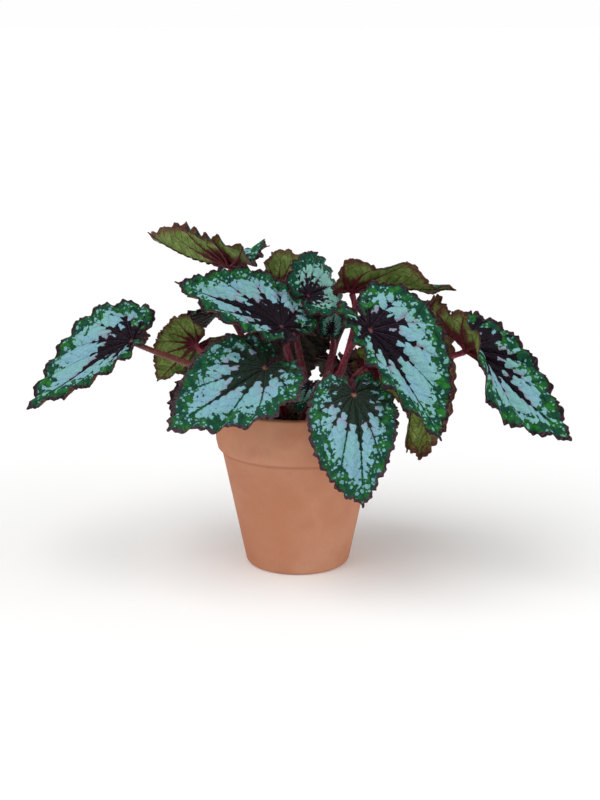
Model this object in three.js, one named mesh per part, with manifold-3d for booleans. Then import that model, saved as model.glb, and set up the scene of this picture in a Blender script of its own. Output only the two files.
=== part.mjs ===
// A rex begonia in a terracotta pot, in millimetres, +Z up.
// The origin is at the centre of the pot's foot. The side with the most upright leaves faces -Y.
// Every leaf is a thin waved blade, toothed round its edge, on its own petiole. The petioles rise
// from a rhizome that lies half sunk in the soil, and from the soil round it.
import * as THREE from "three";
import { mergeVertices } from "three/addons/utils/BufferGeometryUtils.js";
import Module from "manifold-3d";

const wasm = await Module();
wasm.setup();

// ---------------------------------------------------------------- driving dimensions
const POT = {
  height: 150,
  rimRadius: 76, // outside, at the top
  rimBand: 41, // height of the thicker band under the rim
  lipRadius: 73, // outside, at the bottom of the band
  bodyRadius: 68.5, // outside, just under the band
  footRadius: 47.5,
  footRounding: 5,
  rimRounding: 2.2,
  wall: 6.5,
  floor: 9,
  drainRadius: 8,
  footRing: 8, // width of the ring that it stands on
  footRecess: 1.5,
  kneeDrop: 3, // from the band's lower edge to where the wall turns into the body
  innerChamfer: 4, // where the wall meets the floor inside
  segments: 44,
};
const SOIL = { level: 134, mound: 7, lump: 1.6, rings: 3, segments: 30 };
const BLADE = {
  thickness: 1.0,
  span: 172, // degrees from the midrib to the edge of the notch behind the stalk
  crowding: 1.25, // gathers the radial lines towards the tip
  sweep: 0.22, // radians that a side vein bends towards the tip
  teethPerSide: 16,
  wavesPerSide: 8,
  tooth: 0.035, // depth of a tooth, as a share of the leaf's length
  ruffle: 0.03, // height of the edge waves, as a share of the leaf's length
  pucker: 0.022, // bulge between two main veins, as a share of the leaf's length
};
const PETIOLE = {
  footRadius: 3.5,
  topRadius: 2.5,
  sides: 6,
  steps: 7,
  sunk: 9, // depth of its foot in the soil
  topClearance: 1.5, // from its end to the middle of the blade's thickness
};
const RHIZOME = { sides: 8, rise: 4 }; // its axis lies this much over the soil's level
const GAP = 0.35; // clearance where one piece stands in or against another

// Angles of the main veins from the midrib, in degrees, where they leave the stalk.
const MAIN_VEINS = [0, 21, 46, 78, 114, 150, 172];

// The outline of a leaf: angle from the midrib in degrees, and reach as a share of its length.
const OUTLINE = [
  [0, 1.0],
  [6, 0.9],
  [14, 0.8],
  [26, 0.69],
  [42, 0.59],
  [60, 0.51],
  [85, 0.44],
  [112, 0.405],
  [135, 0.385],
  [152, 0.34],
  [164, 0.27],
  [172, 0.17],
];

// ---------------------------------------------------------------- small helpers
const radians = THREE.MathUtils.degToRad;
const lerp = THREE.MathUtils.lerp;
const clamp = THREE.MathUtils.clamp;
const vec = (p) => new THREE.Vector3(...p);

// A closed three.js geometry as a solid that can be joined and cut.
function toSolid(geometry) {
  const bare = new THREE.BufferGeometry();
  bare.setAttribute("position", geometry.getAttribute("position"));
  if (geometry.index) bare.setIndex(geometry.index);
  const merged = mergeVertices(bare, 1e-3);
  return new wasm.Manifold(
    new wasm.Mesh({
      numProp: 3,
      vertProperties: merged.getAttribute("position").array,
      triVerts: new Uint32Array(merged.index.array),
    }),
  );
}

// A solid's largest body as a three.js geometry: scraps that a cut leaves loose are dropped.
function toGeometry(solid) {
  const bodies = solid.decompose().sort((a, b) => b.volume() - a.volume());
  const mesh = bodies[0].getMesh();
  const geometry = new THREE.BufferGeometry();
  geometry.setAttribute("position", new THREE.BufferAttribute(mesh.vertProperties, 3));
  geometry.setIndex(new THREE.BufferAttribute(mesh.triVerts, 1));
  return geometry;
}

function indexedGeometry(points, triangles) {
  const geometry = new THREE.BufferGeometry().setFromPoints(points);
  geometry.setIndex(triangles);
  return geometry;
}

// A round bar along a curve, whose radius runs through the given list, with flat ends.
function taperedBar(curve, radii, sides, steps) {
  const frames = curve.computeFrenetFrames(steps, false);
  const points = [];
  const triangles = [];
  for (let i = 0; i <= steps; i++) {
    const centre = curve.getPointAt(i / steps);
    const along = (i / steps) * (radii.length - 1);
    const k = Math.min(Math.floor(along), radii.length - 2);
    const radius = lerp(radii[k], radii[k + 1], along - k);
    for (let j = 0; j < sides; j++) {
      const angle = (2 * Math.PI * j) / sides;
      points.push(
        centre
          .clone()
          .addScaledVector(frames.normals[i], radius * Math.cos(angle))
          .addScaledVector(frames.binormals[i], radius * Math.sin(angle)),
      );
    }
  }
  for (let i = 0; i < steps; i++) {
    for (let j = 0; j < sides; j++) {
      const a = i * sides + j;
      const b = i * sides + ((j + 1) % sides);
      triangles.push(a, b, b + sides, a, b + sides, a + sides);
    }
  }
  const last = steps * sides;
  for (let j = 1; j < sides - 1; j++) {
    triangles.push(0, j + 1, j, last, last + j, last + j + 1);
  }
  return indexedGeometry(points, triangles);
}

// ---------------------------------------------------------------- the leaf blade
// The lobe behind the stalk takes its own size between these angles from the midrib.
const LOBE_FROM = radians(70);
const LOBE_TO = radians(130);
// A fuller leaf is wider at these angles from the midrib: all of it between the middle two.
const FULL_FROM = [radians(0), radians(14)];
const FULL_TO = [radians(30), radians(80)];

// 1 where a fuller leaf is widest and 0 at its tip and behind the middle.
function fullness(angle) {
  const from = THREE.MathUtils.smoothstep(Math.abs(angle), ...FULL_FROM);
  return from * (1 - THREE.MathUtils.smoothstep(Math.abs(angle), ...FULL_TO));
}

// How far the edge reaches at an angle from the midrib, as a share of the leaf's length.
function reach(angle, skew) {
  const degrees = Math.abs(THREE.MathUtils.radToDeg(angle));
  let k = 0;
  while (k < OUTLINE.length - 2 && degrees > OUTLINE[k + 1][0]) k++;
  const [a0, r0] = OUTLINE[k];
  const [a1, r1] = OUTLINE[k + 1];
  const share = clamp((degrees - a0) / (a1 - a0), 0, 1);
  return lerp(r0, r1, share) * (1 + skew * Math.sin(angle));
}

// 0 on a main vein and 1 midway between two of them.
function betweenVeins(angle) {
  const degrees = Math.abs(THREE.MathUtils.radToDeg(angle));
  let k = 0;
  while (k < MAIN_VEINS.length - 2 && degrees > MAIN_VEINS[k + 1]) k++;
  const share = (degrees - MAIN_VEINS[k]) / (MAIN_VEINS[k + 1] - MAIN_VEINS[k]);
  return Math.sin(Math.PI * clamp(share, 0, 1));
}

// The midrib's place and slope at u leaf lengths from the stalk, as [forward, up, slope].
function midrib(u, droop, hook) {
  const steps = 12;
  const slope = (v) => -(droop * v + hook * Math.max(0, v) ** 4);
  let forward = 0;
  let up = 0;
  for (let i = 0; i < steps; i++) {
    const middle = slope((u * (i + 0.5)) / steps);
    forward += (Math.cos(middle) * u) / steps;
    up += (Math.sin(middle) * u) / steps;
  }
  return [forward, up, slope(u)];
}

// A leaf's blade. Its junction is where the stalk meets it, and its tip is the far end of the
// midrib. Roll turns its upper side about the line between them. Droop bends the midrib down,
// hook bends it more near the tip, folds lift the left and right halves at the base and at the
// tip, curl bends both halves up towards their edges, and twist turns it along its length.
// Width and lobes give the size of the left and right halves and of their lobes behind the stalk,
// full makes the halves rounder near the tip, and waves is the number of waves of each margin.
class Blade {
  constructor(leaf) {
    this.droop = radians(leaf.droop ?? 30);
    this.hook = radians(leaf.hook ?? 0);
    this.left = (leaf.left ?? [8, 8]).map(radians);
    this.right = (leaf.right ?? [8, 8]).map(radians);
    this.curl = radians(leaf.curl ?? 0);
    this.twist = radians(leaf.twist ?? 0);
    this.width = leaf.width ?? [1, 1];
    this.lobes = leaf.lobes ?? [1, 1];
    this.full = leaf.full ?? [0, 0];
    this.waves = leaf.waves ?? BLADE.wavesPerSide;
    this.skew = leaf.skew ?? 0.08;
    this.phase = leaf.phase ?? 0.8;
    this.columns = leaf.columns ?? 32;
    this.ruffle = BLADE.ruffle * (leaf.waviness ?? 1);

    this.junction = vec(leaf.junction);
    const chord = vec(leaf.tip).sub(this.junction);
    const [forward, up] = midrib(1, this.droop, this.hook);
    this.length = chord.length() / Math.hypot(forward, up);
    const along = chord.clone().normalize();
    const upper = new THREE.Vector3(0, 0, 1);
    upper.addScaledVector(along, -upper.dot(along)).normalize();
    upper.applyAxisAngle(along, radians(leaf.roll ?? 0));
    const rise = Math.atan2(up, forward);
    this.y = along.clone().multiplyScalar(Math.cos(rise)).addScaledVector(upper, -Math.sin(rise));
    this.z = along.clone().multiplyScalar(Math.sin(rise)).addScaledVector(upper, Math.cos(rise));
    this.x = this.y.clone().cross(this.z);
  }

  // The point of the middle surface on radial line t (-1 to 1, 0 at the tip), a share rho of
  // the way from the junction to the edge.
  point(t, rho) {
    const { length } = this;
    const start = Math.sign(t) * Math.abs(t) ** BLADE.crowding * radians(BLADE.span);
    const angle = start - BLADE.sweep * Math.sin(start) * rho;
    const edgeAngle = start - BLADE.sweep * Math.sin(start);
    const tooth = BLADE.tooth * Math.cos(2 * Math.PI * BLADE.teethPerSide * t) * rho ** 6;
    const half = start < 0 ? 0 : 1;
    const behind = THREE.MathUtils.smoothstep(Math.abs(edgeAngle), LOBE_FROM, LOBE_TO);
    const size = length * lerp(1, this.lobes[half], behind);
    const edge = reach(edgeAngle, this.skew) + this.full[half] * fullness(edgeAngle);
    const radius = rho * size * (edge + tooth * reach(edgeAngle, 0));
    const across = radius * Math.sin(angle) * this.width[half];
    const u = (radius * Math.cos(angle)) / length;

    const wave = Math.sin(2 * Math.PI * this.waves * t + this.phase);
    const calm = 1 - 0.7 * Math.exp(-((t / 0.08) ** 2));
    const pucker = BLADE.pucker * betweenVeins(start) * Math.sin(Math.PI * rho ** 0.8);
    const height = length * (this.ruffle * wave * calm * rho ** 3 + pucker);

    const side = half === 0 ? this.left : this.right;
    const fold = lerp(side[0], side[1], THREE.MathUtils.smoothstep(u, -0.1, 0.7));
    const lateral = Math.abs(across);
    const lift = fold + (0.5 * this.curl * lateral) / (0.5 * length);
    const sign = Math.sign(across);
    const [forward, up, slope] = midrib(u, this.droop, this.hook);
    const turn = this.twist * u;
    const flat = new THREE.Vector2(
      sign * (lateral * Math.cos(lift) - height * Math.sin(lift)),
      lateral * Math.sin(lift) + height * Math.cos(lift),
    ).rotateAround(new THREE.Vector2(), turn);
    return this.junction
      .clone()
      .addScaledVector(this.x, flat.x)
      .addScaledVector(this.y, forward * length - flat.y * Math.sin(slope))
      .addScaledVector(this.z, up * length + flat.y * Math.cos(slope));
  }

  // The upper side's normal there.
  normal(t, rho) {
    const dt = 0.5 / this.columns;
    const dr = 0.04;
    const across = this.point(Math.min(1, t + dt), rho).sub(this.point(Math.max(-1, t - dt), rho));
    const out = this.point(t, Math.min(1, rho + dr)).sub(this.point(t, rho - dr));
    return across.cross(out).normalize();
  }

  // A closed shell of the given thickness, with the same triangles on its upper and lower side.
  shell(thickness) {
    const rings = [
      { rho: 0.32, step: 4 },
      { rho: 0.6, step: 2 },
      { rho: 0.84, step: 2 },
      { rho: 1, step: 1 },
    ];
    const upper = [this.junction.clone().addScaledVector(this.z, thickness / 2)];
    const lower = [this.junction.clone().addScaledVector(this.z, -thickness / 2)];
    const rows = rings.map(({ rho, step }) => {
      const row = [];
      for (let j = -this.columns; j <= this.columns; j += step) {
        const t = j / this.columns;
        const point = this.point(t, rho);
        const normal = this.normal(t, rho);
        row.push({ t, index: upper.length });
        upper.push(point.clone().addScaledVector(normal, thickness / 2));
        lower.push(point.clone().addScaledVector(normal, -thickness / 2));
      }
      return row;
    });
    const face = [];
    for (let i = 0; i + 1 < rows[0].length; i++) {
      face.push([0, rows[0][i + 1].index, rows[0][i].index]);
    }
    for (let k = 0; k + 1 < rows.length; k++) face.push(...zip(rows[k], rows[k + 1]));
    const edge = [
      0,
      ...rows.map((row) => row[0].index),
      ...rows[rows.length - 1].slice(1, -1).map((p) => p.index),
      ...rows.map((row) => row[row.length - 1].index).reverse(),
    ];
    const n = upper.length;
    const triangles = face.flatMap(([a, b, c]) => [a, b, c, a + n, c + n, b + n]);
    edge.forEach((a, i) => {
      const b = edge[(i + 1) % edge.length];
      triangles.push(a, b, b + n, a, b + n, a + n);
    });
    return indexedGeometry([...upper, ...lower], triangles);
  }
}

// The triangles between two rows of points, the outer one with as many points or more.
function zip(inner, outer) {
  const triangles = [];
  let i = 0;
  let k = 0;
  while (i + 1 < inner.length || k + 1 < outer.length) {
    const nextInner = i + 1 < inner.length ? inner[i + 1].t : Infinity;
    const nextOuter = k + 1 < outer.length ? outer[k + 1].t : Infinity;
    if (nextOuter <= nextInner) {
      triangles.push([inner[i].index, outer[k + 1].index, outer[k].index]);
      k++;
    } else {
      triangles.push([inner[i].index, inner[i + 1].index, outer[k].index]);
      i++;
    }
  }
  return triangles;
}

// ---------------------------------------------------------------- the leaves
// Junction and tip are where the blade's stalk end and its point lie, and foot is where its
// petiole leaves the soil. The angles are in degrees, as Blade says. Bow is how far a petiole
// rises straight from its foot, as a share of its length, and arrive is how much it leans along
// the blade where it meets it.
const LEAVES = {
  left_far: {
    junction: [-147, -4, 205], tip: [-236, -44, 153], roll: -12, droop: 4,
    left: [22, 10], right: [22, 6], skew: 0.14, width: [0.92, 1], lobes: [0.45, 0.92],
    foot: [-30, -2], phase: 0.4,
  },
  left_top: {
    junction: [-62, 41, 265], tip: [-143, 116, 285], roll: 8, droop: -22,
    left: [38, 50], right: [28, 4], skew: 0.2, lobes: [1.35, 0.6], twist: -18, waviness: 1.1,
    foot: [-24, 14], phase: 1.9,
  },
  left_upper: {
    junction: [-14, -16, 220], tip: [-107, -14, 260], roll: -38, droop: 22, hook: -20,
    left: [30, 24], right: [-4, 12], skew: 0.1, lobes: [0.52, 1], foot: [8, -24], phase: 2.6,
  },
  left_low: {
    junction: [-28, -38, 188], tip: [-108, -114, 152], roll: -25, droop: 4,
    left: [22, 4], right: [16, 12], skew: -0.06, width: [1.02, 0.94], lobes: [0.62, 0.84],
    foot: [-8, -22], phase: 1.2,
  },
  left_small: {
    junction: [-92, 30, 195], tip: [-131, 52, 156], roll: 50, droop: 20,
    left: [10, 10], right: [30, 30], width: [1.3, 1.3], lobes: [1.35, 1.35], foot: [-38, 10], phase: 0.2,
    columns: 24,
  },
  front_low: {
    junction: [48, -74, 173], tip: [55, -118, 87], roll: 0, droop: 50,
    left: [4, 14], right: [4, 14], curl: -16, twist: -20, skew: 0.1, width: [0.84, 0.84],
    lobes: [1, 0.8], full: [0, 0.08], foot: [24, -34], phase: 2.2,
  },
  front_young: {
    junction: [12, -40, 174], tip: [1, -78, 158], roll: 0, droop: 30,
    left: [14, 14], right: [14, 14], foot: [0, -38], phase: 0.9, columns: 24,
  },
  crown_young: {
    junction: [9, 24, 241], tip: [37, 93, 238], roll: 38, droop: 28,
    left: [38, 40], right: [18, -8], skew: 0, width: [1.1, 1.1], foot: [13, 6], phase: 3.1, columns: 24,
  },
  right_front: {
    junction: [62, -46, 223], tip: [120, -100, 140], roll: 10, droop: 14,
    left: [30, 14], right: [28, 20], skew: -0.18, width: [0.92, 0.92], foot: [28, -14], phase: 1.5,
  },
  right_top: {
    junction: [48, 18, 246], tip: [142, 24, 245], roll: 10, droop: 10,
    left: [-4, -4], right: [58, 46], width: [0.9, 1], lobes: [0.6, 0.6], waves: 3, waviness: 2.6,
    foot: [30, 13], arrive: -0.3, phase: 1.25,
  },
  right_far: {
    junction: [150, -4, 196], tip: [238, -56, 128], roll: 22, droop: 4,
    left: [28, 4], right: [76, 6], skew: 0.1, width: [0.82, 0.82], twist: -12,
    foot: [38, 2], phase: 2.9,
  },
  right_hanging: {
    junction: [110, 25, 210], tip: [101, 34, 92], roll: 48, droop: 12,
    left: [98, 94], right: [10, 0], skew: 0.1, width: [0.7, 0.57], lobes: [0.7, 0.9], full: [0, 0.24],
    foot: [38, 26], phase: 1.0,
  },
  right_low: {
    junction: [62, -15, 184], tip: [100, -38, 154], roll: -60, droop: 24,
    left: [6, 6], right: [6, 6], foot: [40, -12], phase: 0.6, columns: 24,
  },
  back_upright: {
    junction: [-17, 60, 239], tip: [29, 113, 242], roll: -28, droop: 14,
    left: [14, 0], right: [72, 68], skew: 0.15, twist: 30, foot: [-4, 16], phase: 2.2, columns: 24,
  },
  back_left: {
    junction: [-64, 60, 220], tip: [-110, 113, 184], roll: 0, droop: 34,
    left: [8, 8], right: [8, 8], foot: [-22, 30], phase: 2.4,
  },
  back_middle: {
    junction: [-11, 74, 206], tip: [-10, 119, 124], roll: 0, droop: 34,
    left: [10, 10], right: [0, 6], width: [0.84, 0.96], foot: [0, 24], phase: 1.7,
  },
  back_right: {
    junction: [47, 77, 209], tip: [90, 122, 160], roll: 0, droop: 34,
    left: [14, 8], right: [8, 8], foot: [26, 32], phase: 0.7,
  },
  back_low_left: {
    junction: [-74, 62, 164], tip: [-118, 100, 100], roll: 0, droop: 30,
    left: [6, 6], right: [2, 0], foot: [-14, 38], bow: 0.5, phase: 1.1,
  },
  back_low_right: {
    junction: [42, 79, 166], tip: [66, 120, 95], roll: 0, droop: 30,
    left: [6, 6], right: [6, 6], lobes: [0.7, 1], foot: [10, 44], phase: 2.0,
  },
  crown_back: {
    junction: [31, 41, 206], tip: [37, 54, 228], roll: 0, droop: 20,
    left: [24, 24], right: [24, 24], width: [1.15, 1.15], foot: [18, 22], phase: 0.5, columns: 24,
  },
};

// ---------------------------------------------------------------- petioles
// The line that a petiole follows, from under the soil to just under its blade.
function petioleCurve(leaf, blade) {
  const foot = new THREE.Vector3(leaf.foot[0], leaf.foot[1], SOIL.level - PETIOLE.sunk);
  const arrive = blade.z.clone().addScaledVector(blade.y, leaf.arrive ?? 0.6).normalize();
  const end = blade.junction.clone().addScaledVector(arrive, -PETIOLE.topClearance);
  const span = end.distanceTo(foot);
  const leave = end.clone().sub(foot).setZ(0).multiplyScalar(0.35 / span);
  leave.setZ(1).normalize();
  return new THREE.CubicBezierCurve3(
    foot,
    foot.clone().addScaledVector(leave, span * (leaf.bow ?? 0.4)),
    end.clone().addScaledVector(arrive, span * -0.3),
    end,
  );
}

function petioleSolid(curve, extra) {
  const radii = [PETIOLE.footRadius + extra, PETIOLE.topRadius + extra];
  return toSolid(taperedBar(curve, radii, PETIOLE.sides, PETIOLE.steps));
}

// ---------------------------------------------------------------- pot, soil and rhizome
// The points of a rounded corner in the pot's profile, between two angles in degrees.
function corner(x, y, radius, from, to, steps) {
  return Array.from({ length: steps + 1 }, (_, i) => {
    const angle = radians(lerp(from, to, i / steps));
    return new THREE.Vector2(x + radius * Math.cos(angle), y + radius * Math.sin(angle));
  });
}

function potGeometry() {
  const { height, rimRadius, rimBand, lipRadius, bodyRadius, footRadius, wall, floor } = POT;
  const round = POT.footRounding;
  const rim = POT.rimRounding;
  const ringInside = footRadius - round - POT.footRing;
  const knee = height - rimBand - POT.kneeDrop;
  const point = (x, y) => new THREE.Vector2(x, y);
  const profile = [
    point(POT.drainRadius, POT.footRecess),
    point(ringInside, POT.footRecess),
    point(ringInside + 1, 0),
    ...corner(footRadius - round, round, round, -90, -10, 3),
    point(bodyRadius, knee),
    point(lipRadius - 1, height - rimBand),
    point(lipRadius + 0.4, height - rimBand + 3),
    ...corner(rimRadius - rim, height - rim, rim, 0, 90, 2),
    ...corner(rimRadius - wall - 1 + rim, height - rim, rim, 90, 180, 2),
    point(bodyRadius - wall, knee),
    point(footRadius - wall, floor + POT.innerChamfer),
    point(footRadius - wall - POT.innerChamfer, floor),
    point(POT.drainRadius, floor),
    point(POT.drainRadius, POT.footRecess),
  ];
  return new THREE.LatheGeometry(profile, POT.segments);
}

// The soil's own surface: a low mound with lumps.
function soilHeight(x, y) {
  const edge = 66;
  const mound = SOIL.mound * (1 - Math.min(1, Math.hypot(x, y) / edge) ** 2);
  const lumps = Math.sin(x * 0.31 + 1.3) * Math.cos(y * 0.27) + 0.6 * Math.sin(x * 0.17 - y * 0.43);
  return SOIL.level + mound + SOIL.lump * lumps;
}

// The pot's inner wall over the knee: its radius at a height.
function rimInnerRadius(z) {
  const knee = POT.height - POT.rimBand - POT.kneeDrop;
  const share = (z - knee) / (POT.height - POT.rimRounding - knee);
  return lerp(POT.bodyRadius - POT.wall, POT.rimRadius - POT.wall - 1, share);
}

function soilGeometry() {
  const knee = POT.height - POT.rimBand - POT.kneeDrop;
  const foot = POT.footRadius - POT.wall - GAP;
  const edgeHeight = SOIL.level - 3;
  const profile = [
    new THREE.Vector2(0, POT.floor + GAP),
    new THREE.Vector2(foot - POT.innerChamfer, POT.floor + GAP),
    new THREE.Vector2(foot, POT.floor + POT.innerChamfer + GAP),
    new THREE.Vector2(POT.bodyRadius - POT.wall - GAP, knee),
    new THREE.Vector2(rimInnerRadius(edgeHeight) - GAP, edgeHeight),
  ];
  const topRadius = rimInnerRadius(SOIL.level) - 1.5;
  for (let i = SOIL.rings; i >= 0; i--) {
    profile.push(new THREE.Vector2((topRadius * i) / SOIL.rings, SOIL.level));
  }
  const geometry = new THREE.LatheGeometry(profile, SOIL.segments);
  geometry.rotateX(Math.PI / 2);
  const position = geometry.getAttribute("position");
  for (let i = 0; i < position.count; i++) {
    if (position.getZ(i) > edgeHeight + 0.5) {
      position.setZ(i, soilHeight(position.getX(i), position.getY(i)));
    }
  }
  return geometry;
}

// The rhizome: a knobbly creeping stem with a side branch, thicker all round by extra.
function rhizomeSolid(extra) {
  const height = SOIL.level + RHIZOME.rise;
  const main = new THREE.CatmullRomCurve3([
    new THREE.Vector3(-34, 4, height - 4),
    new THREE.Vector3(-14, -6, height + 1),
    new THREE.Vector3(10, -2, height + 3),
    new THREE.Vector3(34, 6, height - 3),
  ]);
  const branch = new THREE.CatmullRomCurve3([
    new THREE.Vector3(6, -2, height),
    new THREE.Vector3(4, 16, height + 2),
    new THREE.Vector3(-4, 34, height - 4),
  ]);
  const bar = (curve, radii, steps) => {
    const thicker = radii.map((radius) => radius + extra);
    return toSolid(taperedBar(curve, thicker, RHIZOME.sides, steps));
  };
  return bar(main, [5, 8, 7, 9, 7.5, 8.5, 5], 9).add(bar(branch, [6, 7.5, 6, 7, 4.5], 6));
}

// ---------------------------------------------------------------- the plant
const material = (color, roughness) =>
  new THREE.MeshStandardMaterial({ color, roughness, metalness: 0 });
const TERRACOTTA = material(0xbf7f5e, 0.85);
const EARTH = material(0x2c211b, 1);
const BARK = material(0x5a4030, 0.8);
const STALK = material(0x7a2236, 0.5);
const LEAF = material(0x6fa394, 0.45);

const plant = new THREE.Group();

function addMesh(name, geometry, finish) {
  const mesh = new THREE.Mesh(geometry, finish);
  mesh.name = name;
  plant.add(mesh);
}

const pot = potGeometry();
pot.rotateX(Math.PI / 2);
addMesh("pot", pot, TERRACOTTA);

const blades = new Map();
const curves = new Map();
for (const [name, leaf] of Object.entries(LEAVES)) {
  const blade = new Blade(leaf);
  blades.set(name, blade);
  curves.set(name, petioleCurve(leaf, blade));
}

let soil = toSolid(soilGeometry()).subtract(rhizomeSolid(GAP));
let rhizome = rhizomeSolid(0);
for (const curve of curves.values()) {
  const socket = petioleSolid(curve, GAP);
  soil = soil.subtract(socket);
  rhizome = rhizome.subtract(socket);
}
addMesh("soil", toGeometry(soil), EARTH);
addMesh("rhizome", toGeometry(rhizome), BARK);

for (const [name, blade] of blades) {
  addMesh(`blade_${name}`, blade.shell(BLADE.thickness), LEAF);
  const clearance = toSolid(blade.shell(BLADE.thickness + 2 * GAP));
  const stalk = petioleSolid(curves.get(name), 0).subtract(clearance);
  addMesh(`petiole_${name}`, toGeometry(stalk), STALK);
}

export default plant;
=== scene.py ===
"""A potted rex begonia: finely modelled blades, hairy petioles, rhizome, soil and clay pot.

Lengths are in metres, +Z is up and -Y is the front. Leaves are set out from the same table and
by the same formula as the solids that they stand for, with finer teeth, waves and veins.
"""
import logging
import math
from dataclasses import dataclass, field, replace
from enum import Enum
from functools import reduce
from typing import Callable, Sequence

import bpy
import numpy as np
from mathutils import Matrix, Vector


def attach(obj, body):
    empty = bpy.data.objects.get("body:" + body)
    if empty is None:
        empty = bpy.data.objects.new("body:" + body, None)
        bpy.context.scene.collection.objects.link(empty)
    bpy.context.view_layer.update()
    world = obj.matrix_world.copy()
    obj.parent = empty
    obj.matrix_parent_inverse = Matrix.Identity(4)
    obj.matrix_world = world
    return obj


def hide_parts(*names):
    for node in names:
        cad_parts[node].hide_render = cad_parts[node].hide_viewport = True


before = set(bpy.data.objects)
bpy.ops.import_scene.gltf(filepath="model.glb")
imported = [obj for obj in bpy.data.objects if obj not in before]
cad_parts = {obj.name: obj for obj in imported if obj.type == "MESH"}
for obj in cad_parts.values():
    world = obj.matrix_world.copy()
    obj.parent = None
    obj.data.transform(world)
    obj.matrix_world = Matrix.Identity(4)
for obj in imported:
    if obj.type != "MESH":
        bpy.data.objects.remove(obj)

logging.basicConfig(level=logging.INFO, format="%(message)s")
log = logging.getLogger("begonia")

Array = np.ndarray
Piece = bpy.types.Object
Material = bpy.types.Material
Tree = bpy.types.NodeTree
Socket = bpy.types.NodeSocket
Sockets = bpy.types.bpy_prop_collection
Surface = Callable[[Array, Array], Array]

MM = 0.001
TURN = 2 * math.pi
MEETING = 2e-6
SEAM = 0.99999


# ---------------- colours and node graphs
def ink(red: int, green: int, blue: int) -> tuple[float, float, float, float]:
    """A colour given as it looks on screen.

    Args:
        red, green, blue: screen values, 0 to 255.

    Returns:
        The same colour in linear light, with alpha 1.
    """
    def linear(value: int) -> float:
        """One channel in linear light."""
        share = value / 255
        return share / 12.92 if share <= 0.04045 else ((share + 0.055) / 1.055) ** 2.4

    return (linear(red), linear(green), linear(blue), 1.0)


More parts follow.
